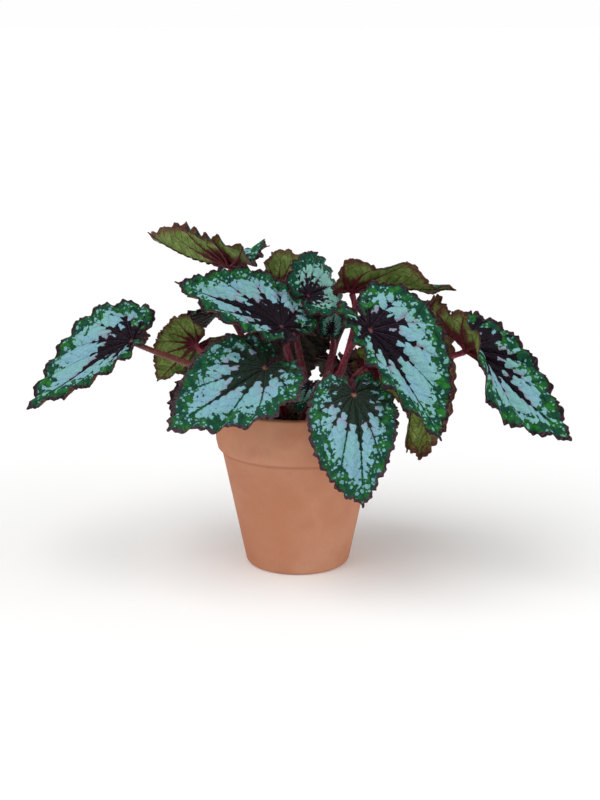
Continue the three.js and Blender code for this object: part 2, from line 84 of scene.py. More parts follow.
class Graph:
    """Builds a node tree from short calls, whose values are numbers, colours or sockets."""

    def __init__(self, tree: Tree) -> None:
        """Start on a tree."""
        self.tree = tree

    def node(self, kind: str, feeds: dict | None = None, **settings: object) -> bpy.types.Node:
        """A new node.

        Args:
            kind: its type.
            feeds: what goes into its inputs, by their names or numbers.
            settings: its own settings.

        Returns:
            The node.
        """
        node = self.tree.nodes.new(kind)
        for name, value in settings.items():
            setattr(node, name, value)
        for key, value in (feeds or {}).items():
            self.feed(node.inputs[key], value)
        return node

    def feed(self, socket: Socket, value: object) -> None:
        """Link an input, or set its value.

        Args:
            socket: the input.
            value: an output to link it to, or a plain value.
        """
        if isinstance(value, Socket):
            self.tree.links.new(value, socket)
        else:
            socket.default_value = value

    def math(self, operation: str, *values: object) -> Socket:
        """What a math node works out from one or two values."""
        return self.node("ShaderNodeMath", dict(enumerate(values)), operation=operation).outputs[0]

    def less(self, first: object, second: object) -> Socket:
        """The first value less the second."""
        return self.math("SUBTRACT", first, second)

    def larger(self, first: object, second: object) -> Socket:
        """The larger of two values."""
        return self.math("MAXIMUM", first, second)

    def total(self, *values: object) -> Socket:
        """The sum of several values."""
        return reduce(lambda first, second: self.math("ADD", first, second), values)

    def times(self, *values: object) -> Socket:
        """The product of several values."""
        return reduce(lambda first, second: self.math("MULTIPLY", first, second), values)

    def weigh(self, base: object, *parts: tuple) -> Socket:
        """A value with others added, each of them the product of the values in its tuple."""
        return self.total(base, *(self.times(*part) for part in parts))

    def step(self, value: object, low: object, high: object) -> Socket:
        """A smooth step from 0 at low to 1 at high; low may be the larger of the two."""
        feeds = {"Value": value, "From Min": low, "From Max": high}
        return self.node("ShaderNodeMapRange", feeds, interpolation_type="SMOOTHSTEP").outputs["Result"]

    def fit(self, value: object, low: float, high: float) -> Socket:
        """A 0 to 1 value brought into a range."""
        feeds = {"Value": value, "To Min": low, "To Max": high}
        return self.node("ShaderNodeMapRange", feeds).outputs["Result"]

    def mix(self, share: object, first: object, second: object) -> Socket:
        """Two colours mixed, with a share of the second."""
        return self.node("ShaderNodeMix", {0: share, 6: first, 7: second}, data_type="RGBA").outputs[2]

    def tint(self, colour: object, paint: object, mask: object, weight: float) -> Socket:
        """A colour with another laid over it where the mask is, at a weight."""
        return self.mix(self.times(mask, weight), colour, paint)

    def attribute(self, name: str) -> Socket:
        """A number that the mesh carries."""
        return self.node("ShaderNodeAttribute", attribute_name=name).outputs["Fac"]

    def leaf_place(self) -> Socket:
        """The place on the flat leaf, in leaf lengths."""
        return self.node("ShaderNodeUVMap", uv_map="leaf").outputs["UV"]

    def place(self) -> Socket:
        """The place on the piece, in metres."""
        return self.node("ShaderNodeTexCoord").outputs["Object"]

    def noise(self, vector: object, scale: float, detail: float, roughness: float = 0.5) -> Socket:
        """Soft noise from 0 to 1."""
        feeds = {"Vector": vector, "Scale": scale, "Detail": detail, "Roughness": roughness}
        return self.node("ShaderNodeTexNoise", feeds).outputs["Fac"]

    def swing(self, vector: object, scale: float, detail: float, roughness: float = 0.5) -> Socket:
        """Soft noise from -0.5 to 0.5."""
        return self.less(self.noise(vector, scale, detail, roughness), 0.5)

    def cells(self, vector: object, scale: float) -> tuple[Socket, Socket]:
        """Cells of uneven shapes.

        Args:
            vector: the place.
            scale: how many there are to a unit of length.

        Returns:
            The distance to the middle of the nearest cell, and its chance value from 0 to 1.
        """
        node = self.node("ShaderNodeTexVoronoi", {"Vector": vector, "Scale": scale})
        chance = self.node("ShaderNodeSeparateColor", {0: node.outputs["Color"]})
        return node.outputs["Distance"], chance.outputs[0]

    def walls(self, vector: object, scale: float) -> Socket:
        """The distance to the walls between such cells."""
        feeds = {"Vector": vector, "Scale": scale}
        return self.node("ShaderNodeTexVoronoi", feeds, feature="DISTANCE_TO_EDGE").outputs["Distance"]

    def bump(self, height: object, strength: float, depth: float) -> Socket:
        """A normal bent by a height, whose full range is depth metres."""
        feeds = {"Height": height, "Strength": strength, "Distance": depth}
        return self.node("ShaderNodeBump", feeds).outputs["Normal"]

    def group(self, tree: Tree, **values: object) -> Sockets:
        """The outputs of a group fed with values, whose names have underscores for spaces."""
        feeds = {label.replace("_", " "): value for label, value in values.items()}
        return self.node("ShaderNodeGroup", feeds, node_tree=tree).outputs


class Paint(Graph):
    """A new material's graph, round its Principled shader."""

    def __init__(self, name: str) -> None:
        """Make the material.

        Args:
            name: its name.
        """
        self.material = bpy.data.materials.new(name)
        self.material.use_nodes = True
        super().__init__(self.material.node_tree)

    def finish(self, **values: object) -> Material:
        """Feed the shader.

        Args:
            values: its inputs, with underscores for spaces in their names.

        Returns:
            The material.
        """
        shader = self.tree.nodes["Principled BSDF"]
        for label, value in values.items():
            self.feed(shader.inputs[label.replace("_", " ")], value)
        return self.material


def make_group(
    name: str,
    inputs: dict[str, float],
    outputs: Sequence[str],
    build: Callable[[Graph, Sockets], dict[str, Socket]],
) -> Tree:
    """A shader node group.

    Args:
        name: its name.
        inputs: the usual value of each input.
        outputs: the name of each output, all of them numbers.
        build: makes the nodes, from the inputs to the outputs.

    Returns:
        The group.
    """
    tree = bpy.data.node_groups.new(name, "ShaderNodeTree")
    for side, sockets in (("INPUT", inputs), ("OUTPUT", dict.fromkeys(outputs, 0.0))):
        for label, value in sockets.items():
            socket = tree.interface.new_socket(name=label, in_out=side, socket_type="NodeSocketFloat")
            socket.default_value = value
    graph = Graph(tree)
    made = build(graph, graph.node("NodeGroupInput").outputs)
    graph.node("NodeGroupOutput", made)
    return tree


# ---------------- finishes
@dataclass(frozen=True)
class ClayFinish:
    """Fired terracotta; its heights and radii are where its painted shade starts and where it is in full."""

    body: tuple = ink(194, 131, 100)
    pale: tuple = ink(206, 148, 118)
    ruddy: tuple = ink(178, 108, 78)
    bloom: tuple = ink(226, 190, 168)
    # The colour of the painted shade inside the pot and in the crease under the band.
    painted_shade: tuple = ink(150, 92, 68)
    inside_top: tuple = (0.149, 0.141)
    inside_foot: tuple = (0.12, 0.13)
    inside_radius: tuple = (0.0713, 0.0703)
    crease_foot: tuple = (0.1042, 0.1062)
    crease_top: tuple = (0.1094, 0.1078)

    def material(self) -> Material:
        """The clay: mottled and porous, with a trace of lime bloom, and painted shade inside and in the
        crease.

        Returns:
            The material.
        """
        paint = Paint("terracotta")
        place = paint.place()
        fine = paint.noise(place, 420, 3, 0.6)
        colour = paint.mix(paint.step(paint.noise(place, 16, 3), 0.35, 0.7), self.body, self.pale)
        colour = paint.tint(colour, self.ruddy, paint.step(paint.noise(place, 31, 2), 0.5, 0.8), 0.45)
        colour = paint.tint(colour, self.bloom, paint.step(paint.noise(place, 9, 4), 0.56, 0.8), 0.25)
        colour = paint.tint(colour, self.ruddy, paint.step(fine, 0.5, 0.75), 0.18)
        x, y, height = paint.node("ShaderNodeSeparateXYZ", {0: place}).outputs
        level = paint.node("ShaderNodeCombineXYZ", {0: x, 1: y}).outputs[0]
        radius = paint.node("ShaderNodeVectorMath", {0: level}, operation="LENGTH").outputs["Value"]
        # Painted shade: the inner wall over the soil is darkened.
        inside = paint.times(paint.step(height, *self.inside_top), paint.step(height, *self.inside_foot),
                             paint.step(radius, *self.inside_radius))
        colour = paint.tint(colour, self.painted_shade, inside, 0.7)
        # Painted shade: a dark line in the crease under the rim band.
        crease = paint.times(paint.step(height, *self.crease_foot), paint.step(height, *self.crease_top))
        colour = paint.tint(colour, self.painted_shade, crease, 0.42)
        pores = paint.weigh(0.0, (fine, 0.6), (paint.noise(place, 1500, 2), 0.4))
        return paint.finish(
            Base_Color=colour, Roughness=paint.fit(fine, 0.78, 0.95), Normal=paint.bump(pores, 0.25, 0.0004),
            Specular_IOR_Level=0.25,
        )


@dataclass(frozen=True)
class SoilFinish:
    """Dark potting mix."""

    dark: tuple = ink(26, 19, 16)
    brown: tuple = ink(58, 42, 33)
    fibre: tuple = ink(92, 70, 52)

    def material(self) -> Material:
        """The mix: crumbs in several browns, with a few paler fibres.

        Returns:
            The material.
        """
        paint = Paint("potting_mix")
        place = paint.place()
        _, chance = paint.cells(place, 420)
        colour = paint.mix(chance, self.dark, self.brown)
        colour = paint.mix(paint.step(chance, 0.93, 0.97), colour, self.fibre)
        colour = paint.tint(colour, self.dark, paint.noise(place, 60, 3), 0.6)
        height = paint.total(paint.noise(place, 900, 4, 0.7), chance)
        return paint.finish(Base_Color=colour, Roughness=paint.fit(chance, 0.75, 0.98),
                            Normal=paint.bump(height, 0.6, 0.0008))


@dataclass(frozen=True)
class BarkFinish:
    """The rhizome's skin."""

    brown: tuple = ink(84, 58, 44)
    green: tuple = ink(84, 84, 50)
    dark: tuple = ink(40, 26, 22)

    def material(self) -> Material:
        """The skin: brown with green and dark blotches.

        Returns:
            The material.
        """
        paint = Paint("rhizome_skin")
        place = paint.place()
        tone = paint.noise(place, 90, 3)
        colour = paint.mix(paint.step(tone, 0.45, 0.65), self.brown, self.green)
        colour = paint.mix(paint.step(paint.noise(place, 380, 4, 0.7), 0.5, 0.7), colour, self.dark)
        return paint.finish(Base_Color=colour, Roughness=paint.fit(tone, 0.55, 0.85),
                            Normal=paint.bump(paint.noise(place, 700, 4, 0.6), 0.5, 0.0008))


@dataclass(frozen=True)
class StalkFinish:
    """A petiole's skin."""

    name: str
    red: tuple
    dark: tuple
    fleck: tuple = ink(176, 96, 92)

    def material(self) -> Material:
        """The skin: fleshy red with darker streaks along it and small pale flecks.

        Returns:
            The material.
        """
        paint = Paint(self.name)
        place = paint.place()
        around, along = paint.attribute("around"), paint.attribute("along")
        feeds = {0: paint.times(around, 9), 1: paint.times(along, 5)}
        streak = paint.noise(paint.node("ShaderNodeCombineXYZ", feeds).outputs[0], 1, 3)
        colour = paint.mix(paint.step(streak, 0.36, 0.66), self.dark, self.red)
        _, chance = paint.cells(place, 900)
        colour = paint.tint(colour, self.fleck, paint.step(chance, 0.86, 0.92), 0.5)
        height = paint.weigh(0.0, (streak, 0.6), (paint.noise(place, 1200, 2), 0.4))
        return paint.finish(Base_Color=colour, Roughness=paint.fit(streak, 0.34, 0.5),
                            Normal=paint.bump(height, 0.4, 0.0005))


@dataclass(frozen=True)
class HairFinish:
    """The stiff little hairs on petioles and margins."""

    pale: tuple = ink(196, 150, 150)
    red: tuple = ink(150, 62, 78)

    def material(self) -> Material:
        """The hairs, pale pink to red.

        Returns:
            The material.
        """
        paint = Paint("leaf_hair")
        tone = paint.noise(paint.place(), 300, 2)
        return paint.finish(Base_Color=paint.mix(paint.step(tone, 0.4, 0.6), self.pale, self.red),
                            Roughness=paint.fit(tone, 0.4, 0.6))


class Age(Enum):
    """A leaf's age, which decides its colours; SHADED is the mature look with painted shade below, for leaves
    in shade.
    """

    YOUNG = "young"
    MATURE = "mature"
    OLD = "old"
    SHADED = "shaded"


@dataclass(frozen=True)
class LeafFinish:
    """The colours and pattern of a leaf's two sides at one age, or with painted shade."""

    age: Age
    star: tuple
    star_vein: tuple
    junction: tuple
    silver: tuple
    silver_cool: tuple
    flush: tuple
    green: tuple
    green_bright: tuple
    margin: tuple
    # The colour of the painted highlights on the margin's crumples.
    margin_highlight: tuple
    cell: tuple
    cell_bright: tuple
    under_vein: tuple
    under_margin: tuple
    jag: float = 1.0
    band: float = 0.07
    gap: float = 0.0
    gap_growth: float = 0.04
    dot: float = 0.36
    flush_reach: float = 0.3

    def upper(self, zones: Tree, veins: Tree) -> Material:
        """The upper side: dark star, silver band, spotted green border, dark margin with painted highlights.

        Args:
            zones, veins: the groups that lay out its pattern.

        Returns:
            The material.
        """
        paint = Paint(f"leaf_upper_{self.age.value}")
        place = paint.leaf_place()
        zone = paint.group(zones, Jag=self.jag, Band=self.band, Gap=self.gap, Gap_growth=self.gap_growth,
                           Dot=self.dot)
        vein = paint.group(veins)
        out = paint.attribute("out")
        fine = paint.step(paint.noise(place, 120, 3, 0.6), 0.5, 0.8)

        green = paint.mix(paint.step(paint.noise(place, 13, 3), 0.42, 0.68), self.green, self.green_bright)
        green = paint.tint(green, self.margin, vein["Rib"], 0.55)
        silver = paint.mix(paint.step(paint.noise(place, 5, 2), 0.4, 0.62), self.silver, self.silver_cool)
        silver = paint.tint(silver, self.flush, zone["Flush"], 0.85)
        silver = paint.tint(silver, self.green, fine, 0.22)
        silver = paint.tint(silver, self.green, vein["Net"], 0.16)
        colour = paint.mix(zone["Silver"], green, silver)
        colour = paint.tint(colour, self.silver, zone["Dot"], 0.85)
        colour = paint.tint(colour, self.green, vein["Main"], 0.4)
        colour = paint.mix(zone["Star"], colour, paint.tint(self.star, self.green, fine, 0.12))
        star_vein = paint.times(vein["Main"], paint.step(out, 0.4, 0.05))
        colour = paint.tint(colour, self.star_vein, star_vein, 0.7)
        colour = paint.mix(paint.step(out, 0.032, 0.01), colour, self.junction)
        # Painted highlights on the crumpled margin, laid in by noise.
        crumple_highlight = paint.step(paint.noise(place, 55, 3, 0.6), 0.48, 0.7)
        margin = paint.tint(self.margin, self.margin_highlight, crumple_highlight, 0.8)
        return paint.finish(
            Base_Color=paint.mix(zone["Margin"], colour, margin),
            Roughness=paint.fit(zone["Silver"], 0.44, 0.52),
            Normal=paint.bump(vein["Upper"], 0.75, 0.0016), Specular_IOR_Level=0.12,
        )

    def lower(self, veins: Tree) -> Material:
        """The underside: olive cells between dark red veins, crimson round the stalk.

        Args:
            veins: the group that lays out its veins.

        Returns:
            The material.
        """
        paint = Paint(f"leaf_lower_{self.age.value}")
        place = paint.leaf_place()
        vein = paint.group(veins)
        out, edge, main = map(paint.attribute, ("out", "edge", "vein"))
        broad = paint.noise(place, 8, 3)
        colour = paint.mix(paint.step(broad, 0.38, 0.66), self.cell, self.cell_bright)
        colour = paint.tint(colour, self.cell, paint.noise(place, 60, 3), 0.3)
        near = paint.weigh(paint.total(out, -0.17), (main, 2.6), (broad, 0.34), (vein["Between"], 0.16))
        flushed = paint.step(near, self.flush_reach + 0.09, self.flush_reach - 0.09)
        colour = paint.tint(colour, self.under_vein, flushed, 0.92)
        lines = paint.larger(vein["Main wide"], paint.times(vein["Rib"], 0.7))
        lines = paint.larger(lines, paint.times(vein["Net"], 0.4))
        colour = paint.mix(lines, colour, self.under_vein)
        rim = paint.step(paint.weigh(edge, (paint.noise(place, 26, 3), 0.11)), 0.15, 0.06)
        return paint.finish(
            Base_Color=paint.tint(colour, self.under_margin, rim, 0.9),
            Roughness=paint.fit(broad, 0.42, 0.58),
            Normal=paint.bump(vein["Lower"], 0.7, 0.0014), Specular_IOR_Level=0.15,
        )


MATURE = LeafFinish(
    age=Age.MATURE,
    star=ink(24, 14, 26), star_vein=ink(84, 58, 76), junction=ink(136, 92, 92),
    silver=ink(134, 190, 190), silver_cool=ink(138, 186, 204), flush=ink(156, 138, 170),
    green=ink(14, 74, 54), green_bright=ink(40, 118, 40), margin=ink(36, 26, 36),
    margin_highlight=ink(108, 62, 72), cell=ink(104, 134, 58), cell_bright=ink(146, 172, 94),
    under_vein=ink(88, 18, 32), under_margin=ink(94, 36, 42), band=0.125,
)
OLD = LeafFinish(
    age=Age.OLD,
    star=ink(36, 54, 46), star_vein=ink(100, 84, 74), junction=ink(176, 126, 108),
    silver=ink(136, 190, 198), silver_cool=ink(136, 184, 202), flush=ink(168, 160, 194),
    green=ink(18, 78, 58), green_bright=ink(40, 112, 46), margin=ink(62, 48, 56),
    margin_highlight=ink(116, 84, 92), cell=ink(96, 122, 50), cell_bright=ink(132, 156, 78),
    under_vein=ink(98, 22, 38), under_margin=ink(80, 30, 36), band=0.14, gap=0.009, gap_growth=0.02,
    dot=0.42,
)
YOUNG = LeafFinish(
    age=Age.YOUNG,
    star=ink(34, 24, 38), star_vein=ink(104, 64, 84), junction=ink(160, 92, 106),
    silver=ink(152, 220, 202), silver_cool=ink(154, 212, 206), flush=ink(156, 186, 192),
    green=ink(12, 72, 56), green_bright=ink(20, 98, 64), margin=ink(44, 26, 36),
    margin_highlight=ink(102, 54, 70), cell=ink(108, 132, 50), cell_bright=ink(142, 164, 82),
    under_vein=ink(112, 30, 46), under_margin=ink(112, 44, 50), jag=1.6, band=0.15, gap=0.0,
    gap_growth=0.02, dot=0.2,
)
# Painted shade: the mature finish with the underside's cells, veins and margin darkened, for the back leaves
# in shade.
SHADED = replace(
    MATURE, age=Age.SHADED, cell=ink(34, 34, 26), cell_bright=ink(52, 54, 36), under_vein=ink(50, 14, 26),
    under_margin=ink(44, 16, 24),
)


def build_zones(graph: Graph, given: Sockets) -> dict[str, Socket]:
    """The zones of a leaf's upper side, from the numbers that its mesh carries.

    Args:
        graph: the group's graph.
        given: the group's inputs.

    Returns:
        The masks of its zones.
    """
    place = graph.leaf_place()
    star, edge, main, out, ribs = map(graph.attribute, ("star", "edge", "vein", "out", "ribs"))
    rib = graph.math("PINGPONG", ribs, 0.5)
    feather = graph.less(rib, 0.25)
    coarse = graph.swing(place, 11, 2)
    lumps = graph.swing(place, 24, 1)
    crisp = graph.swing(place, 46, 3, 0.6)

    inner = graph.weigh(star, (feather, given["Jag"], 0.17), (coarse, 0.26), (crisp, 0.12))
    flush = graph.times(graph.step(inner, 0.12, 0.0), graph.step(graph.noise(place, 7, 1), 0.45, 0.58))

    border = graph.weigh(graph.less(edge, given["Band"]), (coarse, -0.2), (lumps, -0.26), (crisp, -0.07),
                         (feather, 0.1))
    growth = graph.larger(graph.less(out, 0.42), 0.0)
    gap = graph.weigh(given["Gap"], (growth, given["Gap growth"]))
    clear = graph.step(graph.weigh(main, (crisp, 0.03)), graph.less(gap, 0.004), graph.total(gap, 0.004))
    thread = graph.step(graph.weigh(rib, (crisp, 0.2)), 0.05, 0.02)
    thread = graph.times(thread, graph.step(border, 0.05, 0.0), 0.45)
    silver = graph.times(graph.step(border, -0.005, 0.005), clear, graph.less(1.0, thread))

    jitter = graph.node("ShaderNodeTexNoise", {"Vector": place, "Scale": 60}).outputs["Color"]
    wobble = graph.node("ShaderNodeVectorMath", {0: jitter, 1: (0.012, 0.012, 0.0), 2: place},
                        operation="MULTIPLY_ADD")
    dot: object = 0.0
    for scale in (21, 36):
        distance, chance = graph.cells(wobble.outputs[0], scale)
        spot = graph.step(graph.less(distance, graph.times(chance, given["Dot"])), 0.05, -0.05)
        dot = graph.larger(dot, graph.times(spot, graph.step(chance, 0.35, 0.45)))
    dot = graph.times(dot, graph.step(edge, 0.02, 0.035))
    margin = graph.step(graph.weigh(edge, (crisp, 0.05), (coarse, 0.03)), 0.034, 0.016)
    margin = graph.times(margin, graph.less(1.0, graph.times(dot, 0.5)))
    return {"Star": graph.step(inner, 0.006, -0.006), "Silver": silver, "Dot": dot, "Margin": margin,
            "Flush": flush}


def build_veins(graph: Graph, given: Sockets) -> dict[str, Socket]:
    """The lines of the veins, and the relief of both sides.

    Args:
        graph: the group's graph.
        given: the group's inputs, of which there are none; not used.

    Returns:
        The masks of the lines and the heights of the reliefs.
    """
    place = graph.leaf_place()
    main, out, ribs = map(graph.attribute, ("vein", "out", "ribs"))
    width = graph.fit(graph.math("MINIMUM", out, 1.0), 0.0055, 0.002)
    main_wide = graph.step(main, graph.times(width, 1.7), graph.times(width, 0.6))
    tri = graph.math("PINGPONG", graph.weigh(ribs, (graph.swing(place, 38, 2), 0.25)), 0.5)
    rib = graph.times(graph.step(tri, 0.085, 0.03), graph.step(out, 0.06, 0.14))
    distance = graph.walls(place, 34)
    net = graph.step(distance, 0.07, 0.015)
    pillow = graph.step(distance, 0.0, 0.4)
    grain = graph.noise(place, 210, 2)
    return {
        "Main": graph.step(main, width, graph.times(width, 0.3)),
        "Main wide": main_wide,
        "Rib": rib,
        "Net": net,
        "Between": graph.step(main, 0.0, 0.12),
        "Upper": graph.weigh(0.0, (pillow, 0.5), (main_wide, -0.55), (rib, -0.35), (grain, 0.12)),
        "Lower": graph.weigh(0.0, (pillow, -0.3), (main_wide, 0.7), (rib, 0.45), (net, 0.25), (grain, 0.1)),
    }


# ---------------- mesh helpers
def only(piece: Piece) -> None:
    """Select one object alone and make it active.

    Args:
        piece: the object.
    """
    bpy.ops.object.select_all(action="DESELECT")
    piece.select_set(True)
    bpy.context.view_layer.objects.active = piece


def smooth(piece: Piece, angle: float | None = None) -> None:
    """Shade a piece smooth.

    Args:
        piece: the object.
        angle: creases past this angle in degrees stay sharp, if it is given.
    """
    only(piece)
    if angle is None:
        bpy.ops.object.shade_smooth()
    else:
        bpy.ops.object.shade_smooth_by_angle(angle=math.radians(angle))


def new_piece(name: str, points: list, edges: list, faces: list) -> Piece:
    """A new object.

    Args:
        name: its name.
        points, edges, faces: its mesh.

    Returns:
        The object, in the scene.
    """
    mesh = bpy.data.meshes.new(name)
    mesh.from_pydata(points, edges, faces)
    piece = bpy.data.objects.new(name, mesh)
    bpy.context.scene.collection.objects.link(piece)
    return piece


def take_model() -> tuple[Array, list[list[int]]]:
    """Take the active object's shape and remove it.

    Returns:
        Its corners, and the corners of each of its faces.
    """
    model = bpy.context.active_object
    corners = np.array([vertex.co[:] for vertex in model.data.vertices])
    faces = [list(polygon.vertices) for polygon in model.data.polygons]
    bpy.data.objects.remove(model)
    return corners, faces


def swarm(name: str, points: Array, faces: list[list[int]]) -> Piece:
    """Many small bodies as one mesh.

    Args:
        name: the piece's name.
        points: the corners of every body.
        faces: the corners of each face, the same in every body.

    Returns:
        The new object.
    """
    count = points.shape[1]
    every = [[corner + count * i for corner in face] for i in range(len(points)) for face in faces]
    return new_piece(name, points.reshape(-1, 3).tolist(), [], every)


def weld(piece: Piece, closed: bool) -> None:
    """Merge the points that meet.

    Args:
        piece: the object.
        closed: its surface closes on itself, so its normals are made to point out.
    """
    only(piece)
    bpy.ops.object.mode_set(mode="EDIT")
    bpy.ops.mesh.select_all(action="SELECT")
    bpy.ops.mesh.remove_doubles(threshold=MEETING)
    if closed:
        bpy.ops.mesh.normals_make_consistent(inside=False)
    bpy.ops.object.mode_set(mode="OBJECT")


def shaped_grid(
    name: str,
    columns: int,
    rows: int,
    shape: Surface,
    closed: bool,
    numbers: Callable[[Array, Array], dict[str, Array]] | None = None,
    flat: Surface | None = None,
) -> Piece:
    """A grid bent to a surface, with its seams and poles merged.

    Args:
        name: the piece's name.
        columns, rows: faces across and along.
        shape: gives the points for u and v, both 0 to 1 (u across, v along).
        closed: the surface closes on itself.
        numbers: gives named values to store on the vertices.
        flat: gives each vertex's place on the flat leaf, stored as a UV map.

    Returns:
        The new object.
    """
    bpy.ops.mesh.primitive_grid_add(x_subdivisions=columns, y_subdivisions=rows, size=2)
    piece = bpy.context.active_object
    mesh = piece.data
    piece.name = mesh.name = name
    start = np.empty(len(mesh.vertices) * 3)
    mesh.vertices.foreach_get("co", start)
    u, v, _ = (start.reshape(-1, 3).T + 1) / 2
    mesh.vertices.foreach_set("co", shape(u, v).ravel())
    for label, values in (numbers(u, v) if numbers else {}).items():
        layer = mesh.attributes.new(label, "FLOAT", "POINT")
        layer.data.foreach_set("value", values.astype(np.float32))
    if flat:
        corners = np.empty(len(mesh.loops), dtype=np.int32)
        mesh.loops.foreach_get("vertex_index", corners)
        layer = mesh.uv_layers[0]
        layer.name = "leaf"
        layer.data.foreach_set("uv", flat(u, v)[corners].astype(np.float32).ravel())
    mesh.update()
    weld(piece, closed)
    return piece


def join(base: Piece, *others: Piece) -> None:
    """Join other pieces into the first.

    Args:
        base: the piece that is kept.
        others: the pieces that go into it.
    """
    only(base)
    for other in others:
        other.select_set(True)
    bpy.ops.object.join()


def finish_piece(piece: Piece, node: str) -> None:
    """Say which solid a piece stands for.

    Args:
        piece: the piece.
        node: the solid's node.
    """
    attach(piece, "root")
    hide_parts(node)
    log.info("%s: %d faces", piece.name, len(piece.data.polygons))


def unit(vectors: Array) -> Array:
    """One or more vectors at length 1."""
    return vectors / np.linalg.norm(vectors, axis=-1, keepdims=True)


def smoothstep(value: Array, low: float, high: float) -> Array:
    """A smooth step from 0 at low to 1 at high."""
    share = np.clip((value - low) / (high - low), 0, 1)
    return share * share * (3 - 2 * share)


def closed_turn(u: Array) -> Array:
    """Shares of a turn, with the last made the first, so that the seam closes."""
    return np.where(u > SEAM, 0, u)


@dataclass(frozen=True)
class Hair:
    """A kind of hair: its width, its shortest and longest length, and how much it leans."""

    width: float
    lengths: tuple[float, float]
    lean: float

    def grow(self, name: str, roots: Array, normals: Array, random: np.random.Generator) -> Piece:
        """Stiff hairs as one mesh, each a slim three-sided cone.

        Args:
            name: the piece's name.
            roots: where they stand.
            normals: the directions that they lean from.
            random: the seeded source of their directions and lengths.

        Returns:
            The new object.
        """
        axis = unit(normals + random.normal(0, self.lean, normals.shape))
        length = random.uniform(*self.lengths, (len(roots), 1)) * MM
        bpy.ops.mesh.primitive_cone_add(vertices=3, radius1=0.5, radius2=0, depth=1, location=(0, 0, 0.5))
        bpy.ops.object.transform_apply(location=True, rotation=True, scale=True)
        corners, faces = take_model()
        side = unit(np.cross(axis, np.where(np.abs(axis[:, 2:]) < 0.9, [[0, 0, 1.0]], [[1.0, 0, 0]])))
        across = self.width * MM
        points = (
            roots[:, None]
            + corners[None, :, :1] * side[:, None] * across
            + corners[None, :, 1:2] * np.cross(axis, side)[:, None] * across
            + corners[None, :, 2:] * (axis * length)[:, None]
        )
        return swarm(name, points, faces)


MARGIN_HAIR = Hair(width=0.16, lengths=(0.7, 1.9), lean=0.35)
STALK_HAIR = Hair(width=0.17, lengths=(0.9, 2.3), lean=0.25)


# ---------------- pot, soil and rhizome
def between(start: Sequence[float], end: Sequence[float], share: float) -> tuple[float, float]:
    """The point at a share of the way from one point to another."""
    return (start[0] + (end[0] - start[0]) * share, start[1] + (end[1] - start[1]) * share)


def corner(x: float, z: float, radius: float, start: float, end: float, steps: int) -> list:
    """The points of a rounded corner, between two angles in degrees."""
    angles = np.radians(np.linspace(start, end, steps + 1))
    return [(x + radius * math.cos(a), z + radius * math.sin(a)) for a in angles]


def bend(points: Sequence[tuple], share: float, steps: int = 6) -> list:
    """A soft corner.

    Args:
        points: the point before it, its own and the point after it.
        share: how much of the way to its neighbours it takes up.
        steps: how many steps it has.

    Returns:
        Its points.
    """
    before, middle, after = points
    shares = [k / steps for k in range(steps + 1)]
    return [between(between(middle, before, share * (1 - t)), between(middle, after, share * t), t)
            for t in shares]


@dataclass
class Pot:
    """The clay pot, spun from its profile."""

    height: float = 150 * MM
    rim_radius: float = 76 * MM
    rim_band: float = 41 * MM
    lip_radius: float = 73 * MM
    body_radius: float = 68.5 * MM
    foot_radius: float = 47.5 * MM
    foot_rounding: float = 5 * MM
    rim_rounding: float = 2.2 * MM
    wall: float = 6.5 * MM
    floor: float = 9 * MM
    drain_radius: float = 8 * MM
    foot_ring: float = 8 * MM
    foot_recess: float = 1.5 * MM
    knee_drop: float = 3 * MM
    inner_chamfer: float = 4 * MM
    crease_angle: float = 40
    steps: int = 144

    @property
    def knee(self) -> float:
        """The height at which the band turns into the body."""
        return self.height - self.rim_band - self.knee_drop

    def inner_radius(self, z: float) -> float:
        """The inner wall's radius over the knee.

        Args:
            z: a height.

        Returns:
            The radius there.
        """
        low = self.body_radius - self.wall
        top = self.rim_radius - self.wall - MM
        return low + (top - low) * (z - self.knee) / (self.height - self.rim_rounding - self.knee)

    def profile(self) -> list[tuple[float, float]]:
        """The outline of its wall.

        Returns:
            The radius and height of each point, in a closed loop.
        """
        round_, rim = self.foot_rounding, self.rim_rounding
        ring = self.foot_radius - round_ - self.foot_ring
        band_low = self.height - self.rim_band
        lip = (self.lip_radius - MM, band_low)
        body_top = (self.body_radius, self.knee)
        foot = corner(self.foot_radius - round_, round_, round_, -90, -10, 8)
        band = (self.lip_radius + 0.4 * MM, band_low + 3 * MM)
        rim_z = self.height - rim
        return [
            (self.drain_radius, self.foot_recess), (ring, self.foot_recess), (ring + MM, 0), *foot,
            between(body_top, foot[-1], 0.06),
            *bend([(body_top[0] - 0.4 * MM, body_top[1] - 2 * MM), body_top, lip], 0.15),
            *bend([body_top, lip, band], 0.2),
            between(band, (self.rim_radius, rim_z), 0.1),
            *corner(self.rim_radius - rim, rim_z, rim, 0, 90, 5),
            *corner(self.rim_radius - self.wall - MM + rim, rim_z, rim, 90, 180, 5),
            (self.body_radius - self.wall, self.knee),
            (self.foot_radius - self.wall, self.floor + self.inner_chamfer),
            (self.foot_radius - self.wall - self.inner_chamfer, self.floor),
            (self.drain_radius + MM, self.floor), (self.drain_radius, self.floor - MM),
        ]

    def build(self) -> None:
        """Spin the profile and dress it in clay."""
        outline = self.profile()
        count = len(outline)
        piece = new_piece("pot_clay", [(x, 0, z) for x, z in outline],
                          [(i, (i + 1) % count) for i in range(count)], [])
        only(piece)
        bpy.ops.object.mode_set(mode="EDIT")
        bpy.ops.mesh.select_all(action="SELECT")
        bpy.ops.mesh.spin(steps=self.steps, angle=TURN, center=(0, 0, 0), axis=(0, 0, 1))
        bpy.ops.object.mode_set(mode="OBJECT")
        weld(piece, closed=True)
        smooth(piece, self.crease_angle)
        piece.data.materials.append(ClayFinish().material())
        finish_piece(piece, "pot")


